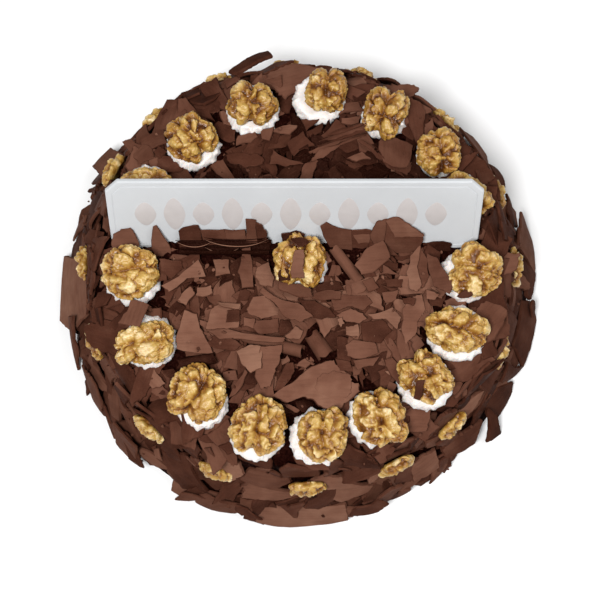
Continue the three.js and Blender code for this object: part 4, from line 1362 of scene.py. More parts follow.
class Top(Bed):
    """The top of the cake: u is x, v is y and the height is z."""

    HALF = 125
    CEILING = 8.5
    # How the top falls off towards its rim: from how far inside it, over what width and how steeply
    FALL = (5, 6, 0.6)
    DOME_ROUNDNESS = 0.36
    STEEPEST = 0.4
    STEEPEST_ON_NUTS = 0.6
    NUT_MARGIN = 2

    def __init__(self):
        super().__init__((-self.HALF,) * 2, (2 * self.HALF + 1,) * 2, False, TOP_Z + self.CEILING)
        self.x, self.y = self.grid()
        radius = np.hypot(self.x, self.y)
        inside, width, fall = self.FALL
        self.height = np.where(radius < BED_RADIUS - BED_MARGIN, TOP_Z + BED_HEIGHT, TOP_Z)
        self.height = self.height - np.clip(radius - (TOP_RADIUS - inside), 0, width) * fall
        self.closed = radius > TOP_RADIUS + 1

    def frame_at(self, x, y, z):
        return np.array([x, y, z]), np.eye(3)

    def coordinates(self, points):
        return points.T

    def cover_disc(self, x, y, radius, z):
        self.cover(np.hypot(self.x - x, self.y - y) < radius, z)

    def cover_dome(self, x, y, radius, low, high):
        share = np.clip(1 - ((self.x - x) ** 2 + (self.y - y) ** 2) / radius**2, 0, 1)
        self.cover(share > 0, low + (high - low) * share**self.DOME_ROUNDNESS)

    def steepest_at(self, x, y):
        """How steeply a plate may lie: more so on a walnut."""
        on_nut = self.height[self.cells(x, y)] > TOP_Z + CREAM_HEIGHT + self.NUT_MARGIN
        return self.STEEPEST_ON_NUTS if on_nut else self.STEEPEST

    def cover_outline(self, corners, z):
        inside = np.zeros(self.size, bool)
        for (x0, y0), (x1, y1) in zip(corners, np.roll(corners, -1, axis=0)):
            crosses = (self.y < y0) != (self.y < y1)
            inside ^= crosses & (self.x < x0 + (self.y - y0) * (x1 - x0) / (y1 - y0 + (y1 == y0)))
        self.cover(inside, z)

    def cover_box(self, x, y, heading, length, width, z):
        c, s = polar(1, heading)
        u, v = (self.x - x) * c + (self.y - y) * s, -(self.x - x) * s + (self.y - y) * c
        self.cover((np.abs(u) < length / 2) & (np.abs(v) < width / 2), z)


class Side(Bed):
    """The side of the cake: u runs round it, v up its profile and on to the top's edge."""

    RADIUS = 115
    CEILING = 4.0
    SPACING = 0.5
    RIM = (TOP_RADIUS - 14, TOP_Z)

    def __init__(self):
        profile = smooth_steps([*SIDE_PROFILE, self.RIM], self.SPACING)
        run = np.gradient(profile, axis=0)
        run /= np.linalg.norm(run, axis=1)[:, None]
        self.profile, self.run = profile, run
        self.arc = np.r_[0, np.cumsum(np.linalg.norm(np.diff(profile, axis=0), axis=1))]
        around, up = int(2 * math.pi * self.RADIUS), int(self.arc[-1]) + 1
        super().__init__((0, 0), (around, up), True, self.CEILING)

    def way_up(self, z):
        """How far up the profile the height z is."""
        return np.interp(z, self.profile[:, 1], self.arc)

    def spot(self, foot, rim, rng):
        """A random place on the side, at least so far from its foot and its rim."""
        return rng.uniform(0, self.size[0]), rng.uniform(foot, self.size[1] - rim)

    def frame_at(self, u, v, height):
        bearing = u / self.RADIUS
        columns = (*self.profile.T, *self.run.T)
        radius, z, run_out, run_up = (np.interp(v, self.arc, column) for column in columns)
        out, level = round_about(bearing)
        up = out * run_out + np.array([0, 0, run_up])
        normal = np.cross(level, up)
        place = out * (radius + unevenness(bearing, z)) + np.array([0, 0, z]) + normal * height
        return place, np.stack([level, up, normal], 1)

    def coordinates(self, points):
        bearing = np.arctan2(points[:, 1], points[:, 0]) % (2 * math.pi)
        radius = np.hypot(points[:, 0], points[:, 1])
        away = np.stack([radius, points[:, 2]], 1)[:, None] - self.profile[None]
        nearest = (away**2).sum(2).argmin(1)
        run = self.run[nearest]
        out = np.stack([run[:, 1], -run[:, 0]], 1)
        height = (away[np.arange(len(points)), nearest] * out).sum(1)
        return bearing * self.RADIUS, self.arc[nearest], height


# Layers of loose shards: how many, shortest and longest, narrowest and widest share, thickest and
# thinnest, darkest and palest, and their outlines.
TOP_LAYERS = [
    (260, (8, 16), (0.4, 0.8), (0.7, 1.1), (0.12, 0.55), ("slab", "fan", "kite", "lens")),
    (90, (12, 24), (0.12, 0.25), (0.7, 1.0), (0.2, 0.7), ("strip", "lens")),
    (190, (13, 24), (0.35, 0.72), (0.7, 1.1), (0.12, 0.76), ("slab", "fan", "wedge", "kite", "lens")),
    (80, (17, 28), (0.32, 0.6), (0.8, 1.2), (0.3, 0.86), ("slab", "wedge", "wedge", "fan", "lens")),
    (120, (3.5, 7), (0.4, 0.9), (0.5, 0.8), (0.3, 0.85), ("quad", "kite", "chip", "lens")),
]
SIDE_LAYERS = [
    (230, (16, 28), (0.45, 0.8), (1.2, 1.8), (0.16, 0.52), ("slab", "quad", "fan", "wedge")),
    (90, (10, 20), (0.4, 0.8), (1.0, 1.5), (0.2, 0.62), ("slab", "kite", "fan", "lens")),
    (120, (24, 38), (0.4, 0.7), (1.3, 1.9), (0.2, 0.66), ("slab", "wedge", "fan", "lens")),
    (60, (5, 10), (0.45, 0.9), (0.8, 1.2), (0.25, 0.7), ("quad", "kite", "chip", "slab")),
]
# How much of a shard of a layer may be over closed ground
TOP_LIMIT = 0.12
SIDE_LIMIT = 0.35
LAYING_TRIES = 8
CURL_RANGE = (-0.3, 1.1)
CURL_WIDTH = 8
# How much darker shards are than their layer says, as painted shade, along the second way of their bed: on
# top those behind the plaque, which lie in its shade
TOP_PAINTED_SHADE = ((PLAQUE["y"], PLAQUE["y"] + 1, 70, 95), (0.0, 0.34, 0.34, 0.1))
NO_PAINTED_SHADE = ((0,), (0.0,))
# How far the loose shards and the crumbs on the side keep from its foot and its rim
SIDE_SHARD_ENDS = (4, 3)
SIDE_CRUMB_ENDS = (2, 2)
# Placed shards and plates: the share of the heights under them that they lie above, the width up to
# which a shard is thin, their thicknesses, and how much a plate bows by its curl and twists
PLACED_SINK = 0.93
NARROW_WIDTH = 4
NARROW_THICKNESS = 0.7
PLACED_THICKNESS = 1.0
PLATE_THICKNESS = 0.9
PLATE_BOW = 0.4
PLATE_TWIST = 0.3
# Shards at the plaque's foot: thickness, gap behind them, and how much further off each next row lies
FOOT_THICKNESS = 1.0
FOOT_GAP = 0.6
FOOT_STAGGER = 0.45
FOOT_ROWS = 3
# What closes the beds: shares of the walnuts' sizes, how much lower a half is taken to be, the gap round
# the cream, how many radii high a scroll is, how high the plate is and how deep the plaque's foot is
NUT_SHARE = 0.44
SIDE_NUT_SHARE = 0.4
NUT_SUNK = 0.8
CREAM_MARGIN = 0.3
SCROLL_COVER = 1.6
FRONT_COVER = 1
PLAQUE_COVER = 6


def top_bed():
    bed = Top()
    nut_z = TOP_Z + CREAM_HEIGHT
    for bearing, reach, _, length, width, offset, cream_radius, *_ in TOP_NUTS:
        x, y = polar(reach, bearing * DEG)
        bed.cover_disc(x + offset[0], y + offset[1], cream_radius + CREAM_MARGIN, nut_z)
        bed.cover_dome(x, y, NUT_SHARE * (length + width) / 2, nut_z, nut_z + NUT_HEIGHT - NUT_SUNK)
    for _, x, y, heading, length, radius, *_ in SCROLLS:
        bed.cover_box(x, y, heading * DEG, length, 2 * radius, TOP_Z + BED_HEIGHT + SCROLL_COVER * radius)
    front_z = TOP_Z + BED_HEIGHT + FRONT_PLATE["lift"] + FRONT_COVER
    bed.cover_outline(np.array(FRONT_PLATE_CORNERS) + (FRONT_PLATE["x"], FRONT_PLATE["y"]), front_z)
    foot_y = PLAQUE["y"] + PLAQUE["thickness"] / 2
    bed.cover_box(PLAQUE["x"], foot_y, 0, PLAQUE["length"], PLAQUE_COVER, TOP_Z)
    return bed


def side_bed():
    bed = Side()
    u, v = bed.grid()
    middle = bed.way_up(SIDE_NUT["z"])
    for nut in SIDE_NUT_BEARINGS:
        turn = (u / bed.RADIUS - nut * DEG + math.pi) % (2 * math.pi) - math.pi
        away = np.hypot(turn * bed.RADIUS / SIDE_NUT["length"], (v - middle) / SIDE_NUT["width"])
        bed.closed |= away < SIDE_NUT_SHARE
    for bearing, z, width, height in BARE_SPOTS:
        away = np.hypot((u - bearing * DEG * bed.RADIUS) / width, (v - bed.way_up(z)) / height)
        bed.closed |= away < 0.5
    for bearing, z, off, lean, turn, length, width, *_ in BIG_SHARDS:
        place, basis = big_shard_frame(bearing, z, off, lean, turn)
        face = face_points(length, width, CLOSED_SHARE)
        under_u, under_v, _ = bed.coordinates(face @ basis.T + place)
        bed.closed[bed.cells(under_u, under_v)] = True
    return bed


def lay_layer(heap, bed, layer, spot, rng, limit, shade):
    """Scatters a layer of shards; spot draws a place and shade says how much painted shade darkens one
    there.
    """
    count, lengths, shares, thicknesses, tones, kinds = layer
    for _ in range(count):
        length, thickness = rng.uniform(*lengths), rng.uniform(*thicknesses)
        width = length * rng.uniform(*shares)
        heading = rng.uniform(0, 2 * math.pi)
        kind = kinds[rng.integers(len(kinds))]
        mirrored, curl = rng.uniform() < 0.5, rng.uniform(*CURL_RANGE) * width / CURL_WIDTH
        made = shard(kind, length, width, thickness, rng, mirrored, curl)
        for _ in range(LAYING_TRIES):
            u, v = spot(rng)
            # Painted shade: the shard's tone is lowered by the shade given for its place
            tone = rng.uniform(*tones) - np.interp(v, *shade)
            if bed.lay(heap, made, (u, v, heading), (length, width, thickness), tone, rng, limit):
                break


def top_spot(rng):
    reach, bearing = (TOP_RADIUS - 1) * math.sqrt(rng.uniform()), rng.uniform(0, 2 * math.pi)
    return polar(reach, bearing)


def lay_top_shards(heap, bed, rng):
    for layer in TOP_LAYERS:
        lay_layer(heap, bed, layer, top_spot, rng, TOP_LIMIT, TOP_PAINTED_SHADE)
    for x, y, heading, length, width, kind, tone, curl in PLACED_SHARDS:
        thickness = NARROW_THICKNESS if width < NARROW_WIDTH else PLACED_THICKNESS
        made = shard(kind, length, width, thickness, rng, curl=curl)
        lay_placed(heap, bed, made, (x, y, heading * DEG), (length, width, thickness), tone, rng)


def lay_placed(heap, bed, made, spot, size, tone, rng):
    bed.lay(heap, made, spot, size, tone, rng, ANYWHERE, PLACED_SINK, bed.steepest_at(*spot[:2]))


def turned_about(corners):
    """The corners the other way round, and the middle of their box."""
    corners = np.array(corners, float)[::-1]
    return corners, (corners.min(0) + corners.max(0)) / 2


def lay_placed_plates(heap, bed, rng):
    for tone, curl, corners in PLACED_PLATES:
        corners, middle = turned_about(corners)
        bends = {"bow": PLATE_BOW * curl, "curl": curl, "twist": rng.normal(scale=PLATE_TWIST)}
        made = plate(corners - middle, PLATE_THICKNESS, rng, **BREAKS["placed"], **bends)
        size = (*np.ptp(corners, axis=0), PLATE_THICKNESS)
        lay_placed(heap, bed, made, (*middle, 0.0), size, tone, rng)


def lay_side_shards(heap, bed, rng):
    for layer in SIDE_LAYERS:
        lay_layer(heap, bed, layer, partial(bed.spot, *SIDE_SHARD_ENDS), rng, SIDE_LIMIT, NO_PAINTED_SHADE)


def lay_foot_shards(heap, rng):
    """Shards whose lower ends stand in the pile and whose upper ends lie on the plaque."""
    place = np.array([0, PLAQUE["y"], TOP_Z])
    for number, (tone, corners) in enumerate(FOOT_SHARDS):
        corners, middle = turned_about(corners)
        points, triangles, rim = plate(corners - middle, FOOT_THICKNESS, rng, **BREAKS["foot"])
        points[:, :2] += middle
        off = PLAQUE["thickness"] / 2 + FOOT_THICKNESS / 2 + FOOT_GAP + FOOT_STAGGER * (number % FOOT_ROWS)
        points[:, 2] += off + FOOT_SHARD_LEAN * (corners[:, 1].max() - points[:, 1])
        add_piece(heap, (points, triangles, rim), plaque_basis(), place, tone, rng)


# Crumbs

# How far over a bed's ceiling crumbs still lie, how much of one's size its middle is up, how knobbly
# they are and how long and wide by their size
CRUMB_REACH = 2.0
CRUMB_LIFT = 0.3
CRUMB_KNOBS = (0.55, 1.15)
CRUMB_SHARES = (0.6, 1.2)
# How many there are, their radii and their tones
TOP_CRUMBS = (350, (0.4, 1.3), (0.3, 0.85))
SIDE_CRUMBS = (300, (0.5, 1.6), (0.2, 0.6))


def ball(subdivisions):
    shape = bmesh.new()
    bmesh.ops.create_icosphere(shape, subdivisions=subdivisions, radius=1)
    return shape


def mesh_arrays(shape):
    """The points and triangles of a shape, which is then freed."""
    points = np.array([v.co for v in shape.verts])
    triangles = np.array([[v.index for v in f.verts] for f in shape.faces])
    shape.free()
    return points, triangles


def lay_crumbs(heap, bed, spot, crumbs, rng):
    count, sizes, tones = crumbs
    points, triangles = mesh_arrays(ball(1))
    smooth = np.zeros(len(triangles), int)
    for _ in range(count):
        u, v = spot(rng)
        i, j = bed.cells(u, v)
        if bed.closed[i, j] or bed.height[i, j] > bed.ceiling + CRUMB_REACH:
            continue
        size = rng.uniform(*sizes)
        place, _ = bed.frame_at(u, v, bed.height[i, j] + CRUMB_LIFT * size)
        knobs = rng.uniform(*CRUMB_KNOBS, (len(points), 1))
        crumb = points * knobs * rng.uniform(*CRUMB_SHARES, 3) * size
        spin = face_basis(rng.normal(size=3), rng.uniform(0, 6))
        add_piece(heap, (crumb, triangles, smooth), spin, place, rng.uniform(*tones), rng)


# Walnuts

# How finely the halves and the pieces in the side are divided
HALF_DETAIL = 6
PIECE_DETAIL = 5
# Spacing and height of the lobes of a half and of a piece
HALF_LOBES = (2.9, 2.1)
PIECE_LOBES = (2.1, 2.3)
PIECE_NOTCHES = (0.15, 0.5)
# Height, wavelength and number of waves of what bends the lobes and of the finest wrinkles
WARP = [(1.3, 7, 10), (0.55, 2.8, 12)]
WRINKLES = [(0.3, 2.6, 14), (0.22, 1.3, 14)]
# The smooth form: width of the notches at the ends, waves of the outline, how boxy it is from above and
# from the side, how far its foot draws in and up to what share of its height, and how much lower and
# narrower it is than the whole, by the height of the lobes
NOTCH_WIDTH = 0.3
OUTLINE_WAVES = (0.1, 1.1, 8)
PLAN_ROUNDNESS = 0.9
SIDE_ROUNDNESS = 0.72
FOOT_DRAWN = 0.1
FOOT_LEVEL = 0.3
WITHIN_LOBES = (0.8, 0.8, 0.9)
# The groove along the middle: how far it wanders and over what length, its depth and its width in the
# form as shares of the height and width, and its depth and width in the skin
WANDER = (0.9, 5)
GROOVE_DEPTH = 0.22
GROOVE_WIDTH = 0.2
SKIN_GROOVE = (1.6, 0.9)
# Lobes: spacing by their size, how much closer they stand across the flow, how far they turn from it in
# waves and by chance, ranges of their size, length and height, their depth, and how much their tones vary
LOBE_SPACING = 1.55
LOBE_SQUEEZE = 0.42
LOBE_SWING = (0.8, 16, 6)
LOBE_SWAY = 0.25
LOBE_SIZES = (0.7, 1.2)
LOBE_LENGTHS = (1.3, 2.6)
LOBE_HEIGHTS = (0.6, 1.15)
LOBE_DEPTH = 2.6
LOBE_TONES = 0.14
# Creases between lobes: how open they are, in waves, and their width and depth
CREASE_OPEN = 0.75
CREASE_WAVES = (0.6, 8, 8)
CREASE_LEAST = 0.15
CREASE_WIDTH = 0.4
CREASE_DEPTH = 0.9
# Knobs on the lobes: spacing, ranges of their size and height, how long and deep they are, and how much
# of them shows
KNOB_SPACING = 2.3
KNOB_SIZES = (0.9, 1.9)
KNOB_HEIGHTS = (0.15, 0.75)
KNOB_SHAPE = (1.25, 2)
KNOB_SHARE = 0.7
KNOB_FROM = 0.2
# The tone of a kernel: between the lobes, on them, in creases, on knobs, in the groove and on wrinkles.
# Paler where the skin stands up and darker in creases and the groove: partly the kernel's own skin, partly
# painted highlight and painted shade
KERNEL_TONE = {"low": 0.3, "lobe": 0.5, "crease": 0.85, "knob": 0.2, "groove": 0.3, "wrinkle": 0.25}


def half_ball(subdivisions):
    shape = ball(subdivisions)
    everything = shape.verts[:] + shape.edges[:] + shape.faces[:]
    cut = {"plane_co": (0, 0, 0), "plane_no": (0, 0, -1), "clear_outer": True}
    bmesh.ops.bisect_plane(shape, geom=everything, dist=1e-5, **cut)
    bmesh.ops.holes_fill(shape, edges=shape.edges[:], sides=0)
    bmesh.ops.triangulate(shape, faces=shape.faces[:])
    bmesh.ops.recalc_face_normals(shape, faces=shape.faces[:])
    shape.verts.index_update()
    return mesh_arrays(shape)


def spaced(points, spacing, rng, flow=0.0, squeeze=0.0):
    """Numbers of points at least a spacing apart, which is longer along the flow where squeezed."""
    along = points[:, 0] * math.cos(flow) + points[:, 1] * math.sin(flow)
    squeezed = points - round_points(along, flow, 0 * along) * squeeze
    chosen = []
    for i in rng.permutation(len(points)):
        if not chosen or np.linalg.norm(squeezed[chosen] - squeezed[i], axis=1).min() > spacing:
            chosen.append(i)
    return np.array(chosen)


def bumps(base, out, centres, long, radii, heights):
    """Ellipsoid bumps at some of the base's points: the height at every point, how far that is over the
    next highest bump there, and which bump it is."""
    across = np.cross(out[centres], long)
    offset = base[:, None] - base[centres][None]
    axes = zip((long, across, out[centres]), radii)
    far = sum(((offset * axis[None]).sum(2) / radius) ** 2 for axis, radius in axes)
    height = heights * np.sqrt(np.clip(1 - far, 0, 1))
    second, first = np.partition(height, -2, axis=1)[:, -2:].T
    return first, first - second, height.argmax(1)


def tangents(out, headings):
    long = round_points(1, headings, 0 * headings)
    long -= out * (long * out).sum(1)[:, None]
    return long / np.maximum(np.linalg.norm(long, axis=1), 1e-6)[:, None]


def warped(base, rng):
    """The points moved about smoothly, which bends whatever is measured from them."""
    return base + np.stack([fields_sum(base, rng, *WARP) for _ in range(3)], 1)


def bell(away, width):
    return np.exp(-((away / width) ** 2))


def kernel_form(dome, length, width, height, notches, rise, rng):
    """The smooth form under the lobes: its points, the way out at each, and how far each is from the
    groove that wanders along the middle."""
    angle = np.arctan2(dome[:, 1], dome[:, 0])
    level = np.clip(dome[:, 2], 0, 1)
    away = np.abs(angle)
    notch = notches[0] * bell(away, NOTCH_WIDTH) + notches[1] * bell(math.pi - away, NOTCH_WIDTH)
    uneven = fields_sum(round_points(1, angle, 0 * angle), rng, OUTLINE_WAVES)
    spread = np.sqrt(1 - level**2) ** PLAN_ROUNDNESS * (1 - notch + uneven)
    spread *= 1 - FOOT_DRAWN * np.clip(1 - level / FOOT_LEVEL, 0, 1) ** 2
    a, b, c = (size - rise * share for size, share in zip((length / 2, width / 2, height), WITHIN_LOBES))
    x, y = a * spread * np.cos(angle), b * spread * np.sin(angle)
    wander = y - WANDER[0] * np.sin(x / WANDER[1] + rng.uniform(0, 6))
    z = c * level**SIDE_ROUNDNESS * (1 - GROOVE_DEPTH * bell(wander, GROOVE_WIDTH * width))
    out = np.stack([x / a**2, y / b**2, z / c**2 + 1e-4], 1)
    out /= np.linalg.norm(out, axis=1)[:, None]
    return np.stack([x, y, z], 1), out, wander


def kernel_lobes(base, out, skin, flow, lobe, rise, rng):
    """The lobes that run along the flow, and the creases between them: the height of the lobe at each
    point, how deep in a crease it is, and which lobe it is on."""
    bent = warped(base, rng)
    centres = skin[spaced(base[skin], LOBE_SPACING * lobe, rng, flow, LOBE_SQUEEZE)]
    count = len(centres)
    swing = flow + fields_sum(base[centres], rng, LOBE_SWING) + rng.normal(scale=LOBE_SWAY, size=count)
    size = rng.uniform(*LOBE_SIZES, count)
    long = lobe * size * rng.uniform(*LOBE_LENGTHS, count)
    radii = (long, lobe * size, np.full(count, LOBE_DEPTH * lobe))
    tall = rise * rng.uniform(*LOBE_HEIGHTS, count)
    lobes, clear, which = bumps(bent, out, centres, tangents(out[centres], swing), radii, tall)
    crease_open = np.clip(CREASE_OPEN + fields_sum(base, rng, CREASE_WAVES), CREASE_LEAST, 1)
    return lobes, crease_open * bell(clear, CREASE_WIDTH), which


def kernel_knobs(base, out, skin, rng):
    """Small knobs all over the lobes."""
    centres = skin[spaced(base[skin], KNOB_SPACING, rng)]
    count = len(centres)
    size = rng.uniform(*KNOB_SIZES, count)
    tall = rng.uniform(*KNOB_HEIGHTS, count)
    along = tangents(out[centres], rng.uniform(0, math.pi, count))
    long, deep = KNOB_SHAPE
    return bumps(base, out, centres, along, (size * long, size, deep * size), tall)[0]


def kernel(dome, length, width, height, notches, flow, rng, lobe, rise):
    """Half a walnut, flat side down: its points, and the tone of each from its folds to its lobes, which
    holds painted shade and painted highlight.
    """
    base, out, wander = kernel_form(dome, length, width, height, notches, rise, rng)
    skin = np.flatnonzero(dome[:, 2] > 0.02)
    lobes, crease, which = kernel_lobes(base, out, skin, flow, lobe, rise, rng)
    knobs = kernel_knobs(base, out, skin, rng)
    wrinkle = fields_sum(base, rng, *WRINKLES)
    groove_depth, groove_width = SKIN_GROOVE
    groove = bell(wander, groove_width) * np.clip(np.clip(dome[:, 2], 0, 1) * 2, 0, 1)
    knobby = KNOB_SHARE * knobs * np.clip(lobes / rise + KNOB_FROM, 0, 1)
    offset = lobes + knobby + wrinkle - groove_depth * groove - CREASE_DEPTH * crease
    points = base + out * (offset * (dome[:, 2] > 1e-4))[:, None]
    points[:, 2] = np.maximum(points[:, 2], 0)
    patch = rng.uniform(-LOBE_TONES, LOBE_TONES, which.max() + 1)[which]
    low, on_lobe, in_crease, on_knob, in_groove, on_wrinkle = KERNEL_TONE.values()
    # Paler on lobes and knobs, darker in creases and the groove: the kernel's own skin with painted
    # highlight and painted shade
    tone = (1 - in_crease * crease) * (low + on_lobe * lobes / rise + patch)
    return points, np.clip(tone + on_knob * knobs - in_groove * groove + on_wrinkle * wrinkle, 0, 1)


def walnut_halves(material):
    dome, triangles = half_ball(HALF_DETAIL)
    for number, nut in enumerate(TOP_NUTS):
        bearing, reach, heading, length, width, _, _, *notches, flow = nut
        rng = np.random.default_rng(SEEDS["halves"] + number)
        points, fold = kernel(dome, length, width, NUT_HEIGHT, notches, flow * DEG, rng, *HALF_LOBES)
        # Painted shade darkens the nuts at the back; 7 and 17 are darkened too
        fold = np.clip(fold - DARKER_AND_SHADED_NUTS.get(number + 1, 0.0), 0, 1)
        points = turned(points, heading * DEG) + (*polar(reach, bearing * DEG), TOP_Z + CREAM_HEIGHT)
        name = f"walnut_half_{number + 1:02d}"
        piece = make_piece(name, points, triangles, [material], fields={"fold": fold})
        belongs(piece, "walnut", f"walnut_{number + 1:02d}")


def side_walnuts(material):
    dome, triangles = half_ball(PIECE_DETAIL)
    length, width, height, z = SIDE_NUT.values()
    reach = side_radius(z - width / 2) + SIDE_UNEVENNESS + CLEARANCE
    for number, bearing in enumerate(SIDE_NUT_BEARINGS):
        rng = np.random.default_rng(SEEDS["pieces"] + number)
        flow, notches = rng.uniform(0, 3), rng.uniform(*PIECE_NOTCHES, 2)
        points, fold = kernel(dome, length, width, height, notches, flow, rng, *PIECE_LOBES)
        out, level = round_about(bearing * DEG)
        basis = np.stack([level, (0, 0, 1), out], 1)
        points = points @ basis.T + (out * reach + np.array([0, 0, z]))
        name = f"side_walnut_piece_{number + 1:02d}"
        piece = make_piece(name, points, triangles, [material], fields={"fold": fold})
        belongs(piece, "walnut", f"side_walnut_{number + 1:02d}")


# Cream

ROSETTE_STEPS = 132
ROSETTE_SPACING = 0.8
# Ridges: how many, how they lean and wander, how rounded and proud they are, and where they fade inwards
ROSETTE_RIDGES = 15
RIDGE_LEAN = 0.25
RIDGE_WAVES = (1.1, 1.4, 8)
RIDGE_ROUNDNESS = 0.8
RIDGE_PROUD = 0.12
BETWEEN_RIDGES = 0.9
RIDGE_FADE = (0.8, 0.4)
# Coarse and fine lumps: wavelength and number of waves, and their shares in the width
LUMPS = [(6, 12), (2.2, 12)]
LUMP_SHARES = (0.5, 0.3)
# How far the ridges are pulled up round the nut, in waves and at most
PULL = 0.6
PULL_WAVES = (0.6, 0.9, 8)
MOST_PULL = 1.3
# The lip that stands up round the nut: from where outwards and over what width, from what height, and
# how much of it is its own, coarse lumps, fine lumps and ridges
LIP_REACH = (0.7, 0.2)
LIP_LEVEL = 0.75
LIP_SHARES = (0.4, 0.6, 0.4, 1.1)
# Shares of the radius and of the height up the side of a rosette
ROSETTE_LEVELS = [
    (0.93, 0.0), (0.98, 0.1), (1.03, 0.3), (1.03, 0.5),
    (0.99, 0.7), (0.92, 0.88), (0.82, 1.0), (0.4, 1.0),
]


def rosette(radius, rng):
    """Cream piped with a star nozzle: fine ridges, uneven and pulled up a little round the nut."""
    fine = smooth_steps(np.array(ROSETTE_LEVELS) * (radius, CREAM_HEIGHT), ROSETTE_SPACING)
    angle = np.tile(full_turn(ROSETTE_STEPS), len(fine))
    spread, z = (np.repeat(column, ROSETTE_STEPS) for column in fine.T)
    ring = round_points(1, angle, 0 * z)
    phase = 0.5 * ROSETTE_RIDGES * angle + RIDGE_LEAN * z + fields_sum(ring, rng, RIDGE_WAVES)
    ridge = 1 - np.abs(np.cos(phase)) ** RIDGE_ROUNDNESS
    rim = np.clip(spread / radius / RIDGE_FADE[0] - RIDGE_FADE[1], 0, 1)
    around = round_points(spread, angle, z)
    coarse, small = (Field(rng, *lumps)(around) for lumps in LUMPS)
    pull = np.clip(PULL + fields_sum(ring, rng, PULL_WAVES), 0, MOST_PULL)
    spread = spread * (BETWEEN_RIDGES + RIDGE_PROUD * ridge * rim * pull)
    spread = spread + rim * (LUMP_SHARES[0] * coarse + LUMP_SHARES[1] * small)
    lip = np.clip((spread / radius - LIP_REACH[0]) / LIP_REACH[1], 0, 1)
    lip = lip * np.clip(z / CREAM_HEIGHT - LIP_LEVEL, 0, 1 - LIP_LEVEL) / (1 - LIP_LEVEL)
    own, by_coarse, by_small, by_ridge = LIP_SHARES
    z = z + lip * (own + by_coarse * coarse + by_small * small + by_ridge * ridge * pull)
    rings = round_points(spread, angle, z).reshape(-1, ROSETTE_STEPS, 3)
    return stacked(rings, (0, 0, 0), (0, 0, CREAM_HEIGHT))


def cream_rosettes(material):
    for number, nut in enumerate(TOP_NUTS):
        bearing, reach, _, _, _, offset, radius, *_ = nut
        points, triangles = rosette(radius, np.random.default_rng(SEEDS["cream"] + number))
        x, y = polar(reach, bearing * DEG)
        points = points + (x + offset[0], y + offset[1], TOP_Z)
        piece = make_piece(f"cream_rosette_{number + 1:02d}", points, triangles, [material])
        belongs(piece, "whipped_cream", f"cream_{number + 1:02d}")


# The plaque

# Rings of the plaque from its back to its front: inset, side of the middle plane, and how far below that
# face. Its arrises are rounded, and a shallow line runs along its border.
PLAQUE_LEVELS = [
    (0.9, -1, 0.0), (0.3, -1, 0.25), (0.0, -1, 0.8), (0.0, 1, 0.8), (0.3, 1, 0.25), (0.9, 1, 0.0),
    (3.0, 1, 0.0), (3.15, 1, 0.22), (3.5, 1, 0.22), (3.65, 1, 0.0), (9.0, 1, 0.0),
]
CHAMFER_SHRINK = 0.42
# The lozenges: how many, how far apart, half of their width, half heights of every other one, how far
# they stand out and are let in, how high their upright edge is and how narrow their face, how hollow
# their sides are, steps round each, and the middle of the row
LOZENGES = 11
LOZENGE_PITCH = 15.0
LOZENGE_WIDTH = 5.6
LOZENGE_HEIGHTS = (8.0, 11.0)
LOZENGE_PROUD = 0.16
LOZENGE_SUNK = 0.3
LOZENGE_SHOULDER = 0.4
LOZENGE_TAPER = 0.95
LOZENGE_HOLLOW = 1.25
LOZENGE_STEPS = 24
LOZENGE_MIDDLE = (-2.0, 23.0)
# The angles between faces from which the edges of the plaque and of the lozenges are sharp
PLAQUE_EDGE = 12
LOZENGE_EDGE = 30


def plaque_basis():
    c, s = polar(1, PLAQUE["lean"] * DEG)
    return np.array([[1, 0, 0], [0, c, -s], [0, s, c]])


def plaque_outline(inset):
    """The outline of the plaque with its corners cut, in its own plane, from the cake's top up."""
    chamfer = PLAQUE["chamfer"] - inset * CHAMFER_SHRINK
    right, top = PLAQUE["length"] / 2 - inset, PLAQUE["height"] - PLAQUE["sunk"] - inset
    bottom = -PLAQUE["sunk"] + inset
    inner = right - chamfer
    half = [(inner, bottom), (right, bottom + chamfer), (right, top - chamfer), (inner, top)]
    return np.roll([*half, *((-x, y) for x, y in half[::-1])], 1, axis=0)


def plaque(material):
    half = PLAQUE["thickness"] / 2
    outlines = [(plaque_outline(inset), side * (half - below)) for inset, side, below in PLAQUE_LEVELS]
    rings = [np.c_[outline, np.full(len(outline), height)] for outline, height in outlines]
    middle = PLAQUE["height"] / 2 - PLAQUE["sunk"]
    points, triangles = stacked(rings, (0, middle, -half), (0, middle, half))
    world = points @ plaque_basis().T + PLAQUE_FOOT
    piece = make_piece("plaque_plate", world, triangles, [material], sharp=PLAQUE_EDGE)
    belongs(piece, "white_chocolate", "plaque")


def hollow(values):
    return np.sign(values) * np.abs(values) ** LOZENGE_HOLLOW


def plaque_ornament(material):
    """A faint row of beige lozenges across the middle of the plaque."""
    angle = full_turn(LOZENGE_STEPS)
    face = PLAQUE["thickness"] / 2
    foot, top = face - LOZENGE_SUNK, face + LOZENGE_PROUD
    levels = [(1.0, foot), (1.0, face + LOZENGE_SHOULDER * LOZENGE_PROUD), (LOZENGE_TAPER, top)]
    bodies, triangles = [], []
    for number in range(LOZENGES):
        tall = LOZENGE_HEIGHTS[number % 2]
        outline = np.stack([LOZENGE_WIDTH * hollow(np.cos(angle)), tall * hollow(np.sin(angle))], 1)
        middle = np.array([(number - (LOZENGES - 1) / 2) * LOZENGE_PITCH, 0]) + LOZENGE_MIDDLE
        stack = [np.c_[outline * scale + middle, np.full(len(angle), height)] for scale, height in levels]
        body, faces = stacked(stack, (*middle, foot), (*middle, top))
        bodies.append(body)
        triangles.append(faces + number * len(body))
    world = np.concatenate(bodies) @ plaque_basis().T + PLAQUE_FOOT
    triangles = np.concatenate(triangles)
    piece = make_piece("plaque_ornament", world, triangles, [material], sharp=LOZENGE_EDGE)
    belongs(piece, "white_chocolate")


# Scrolls and the plate

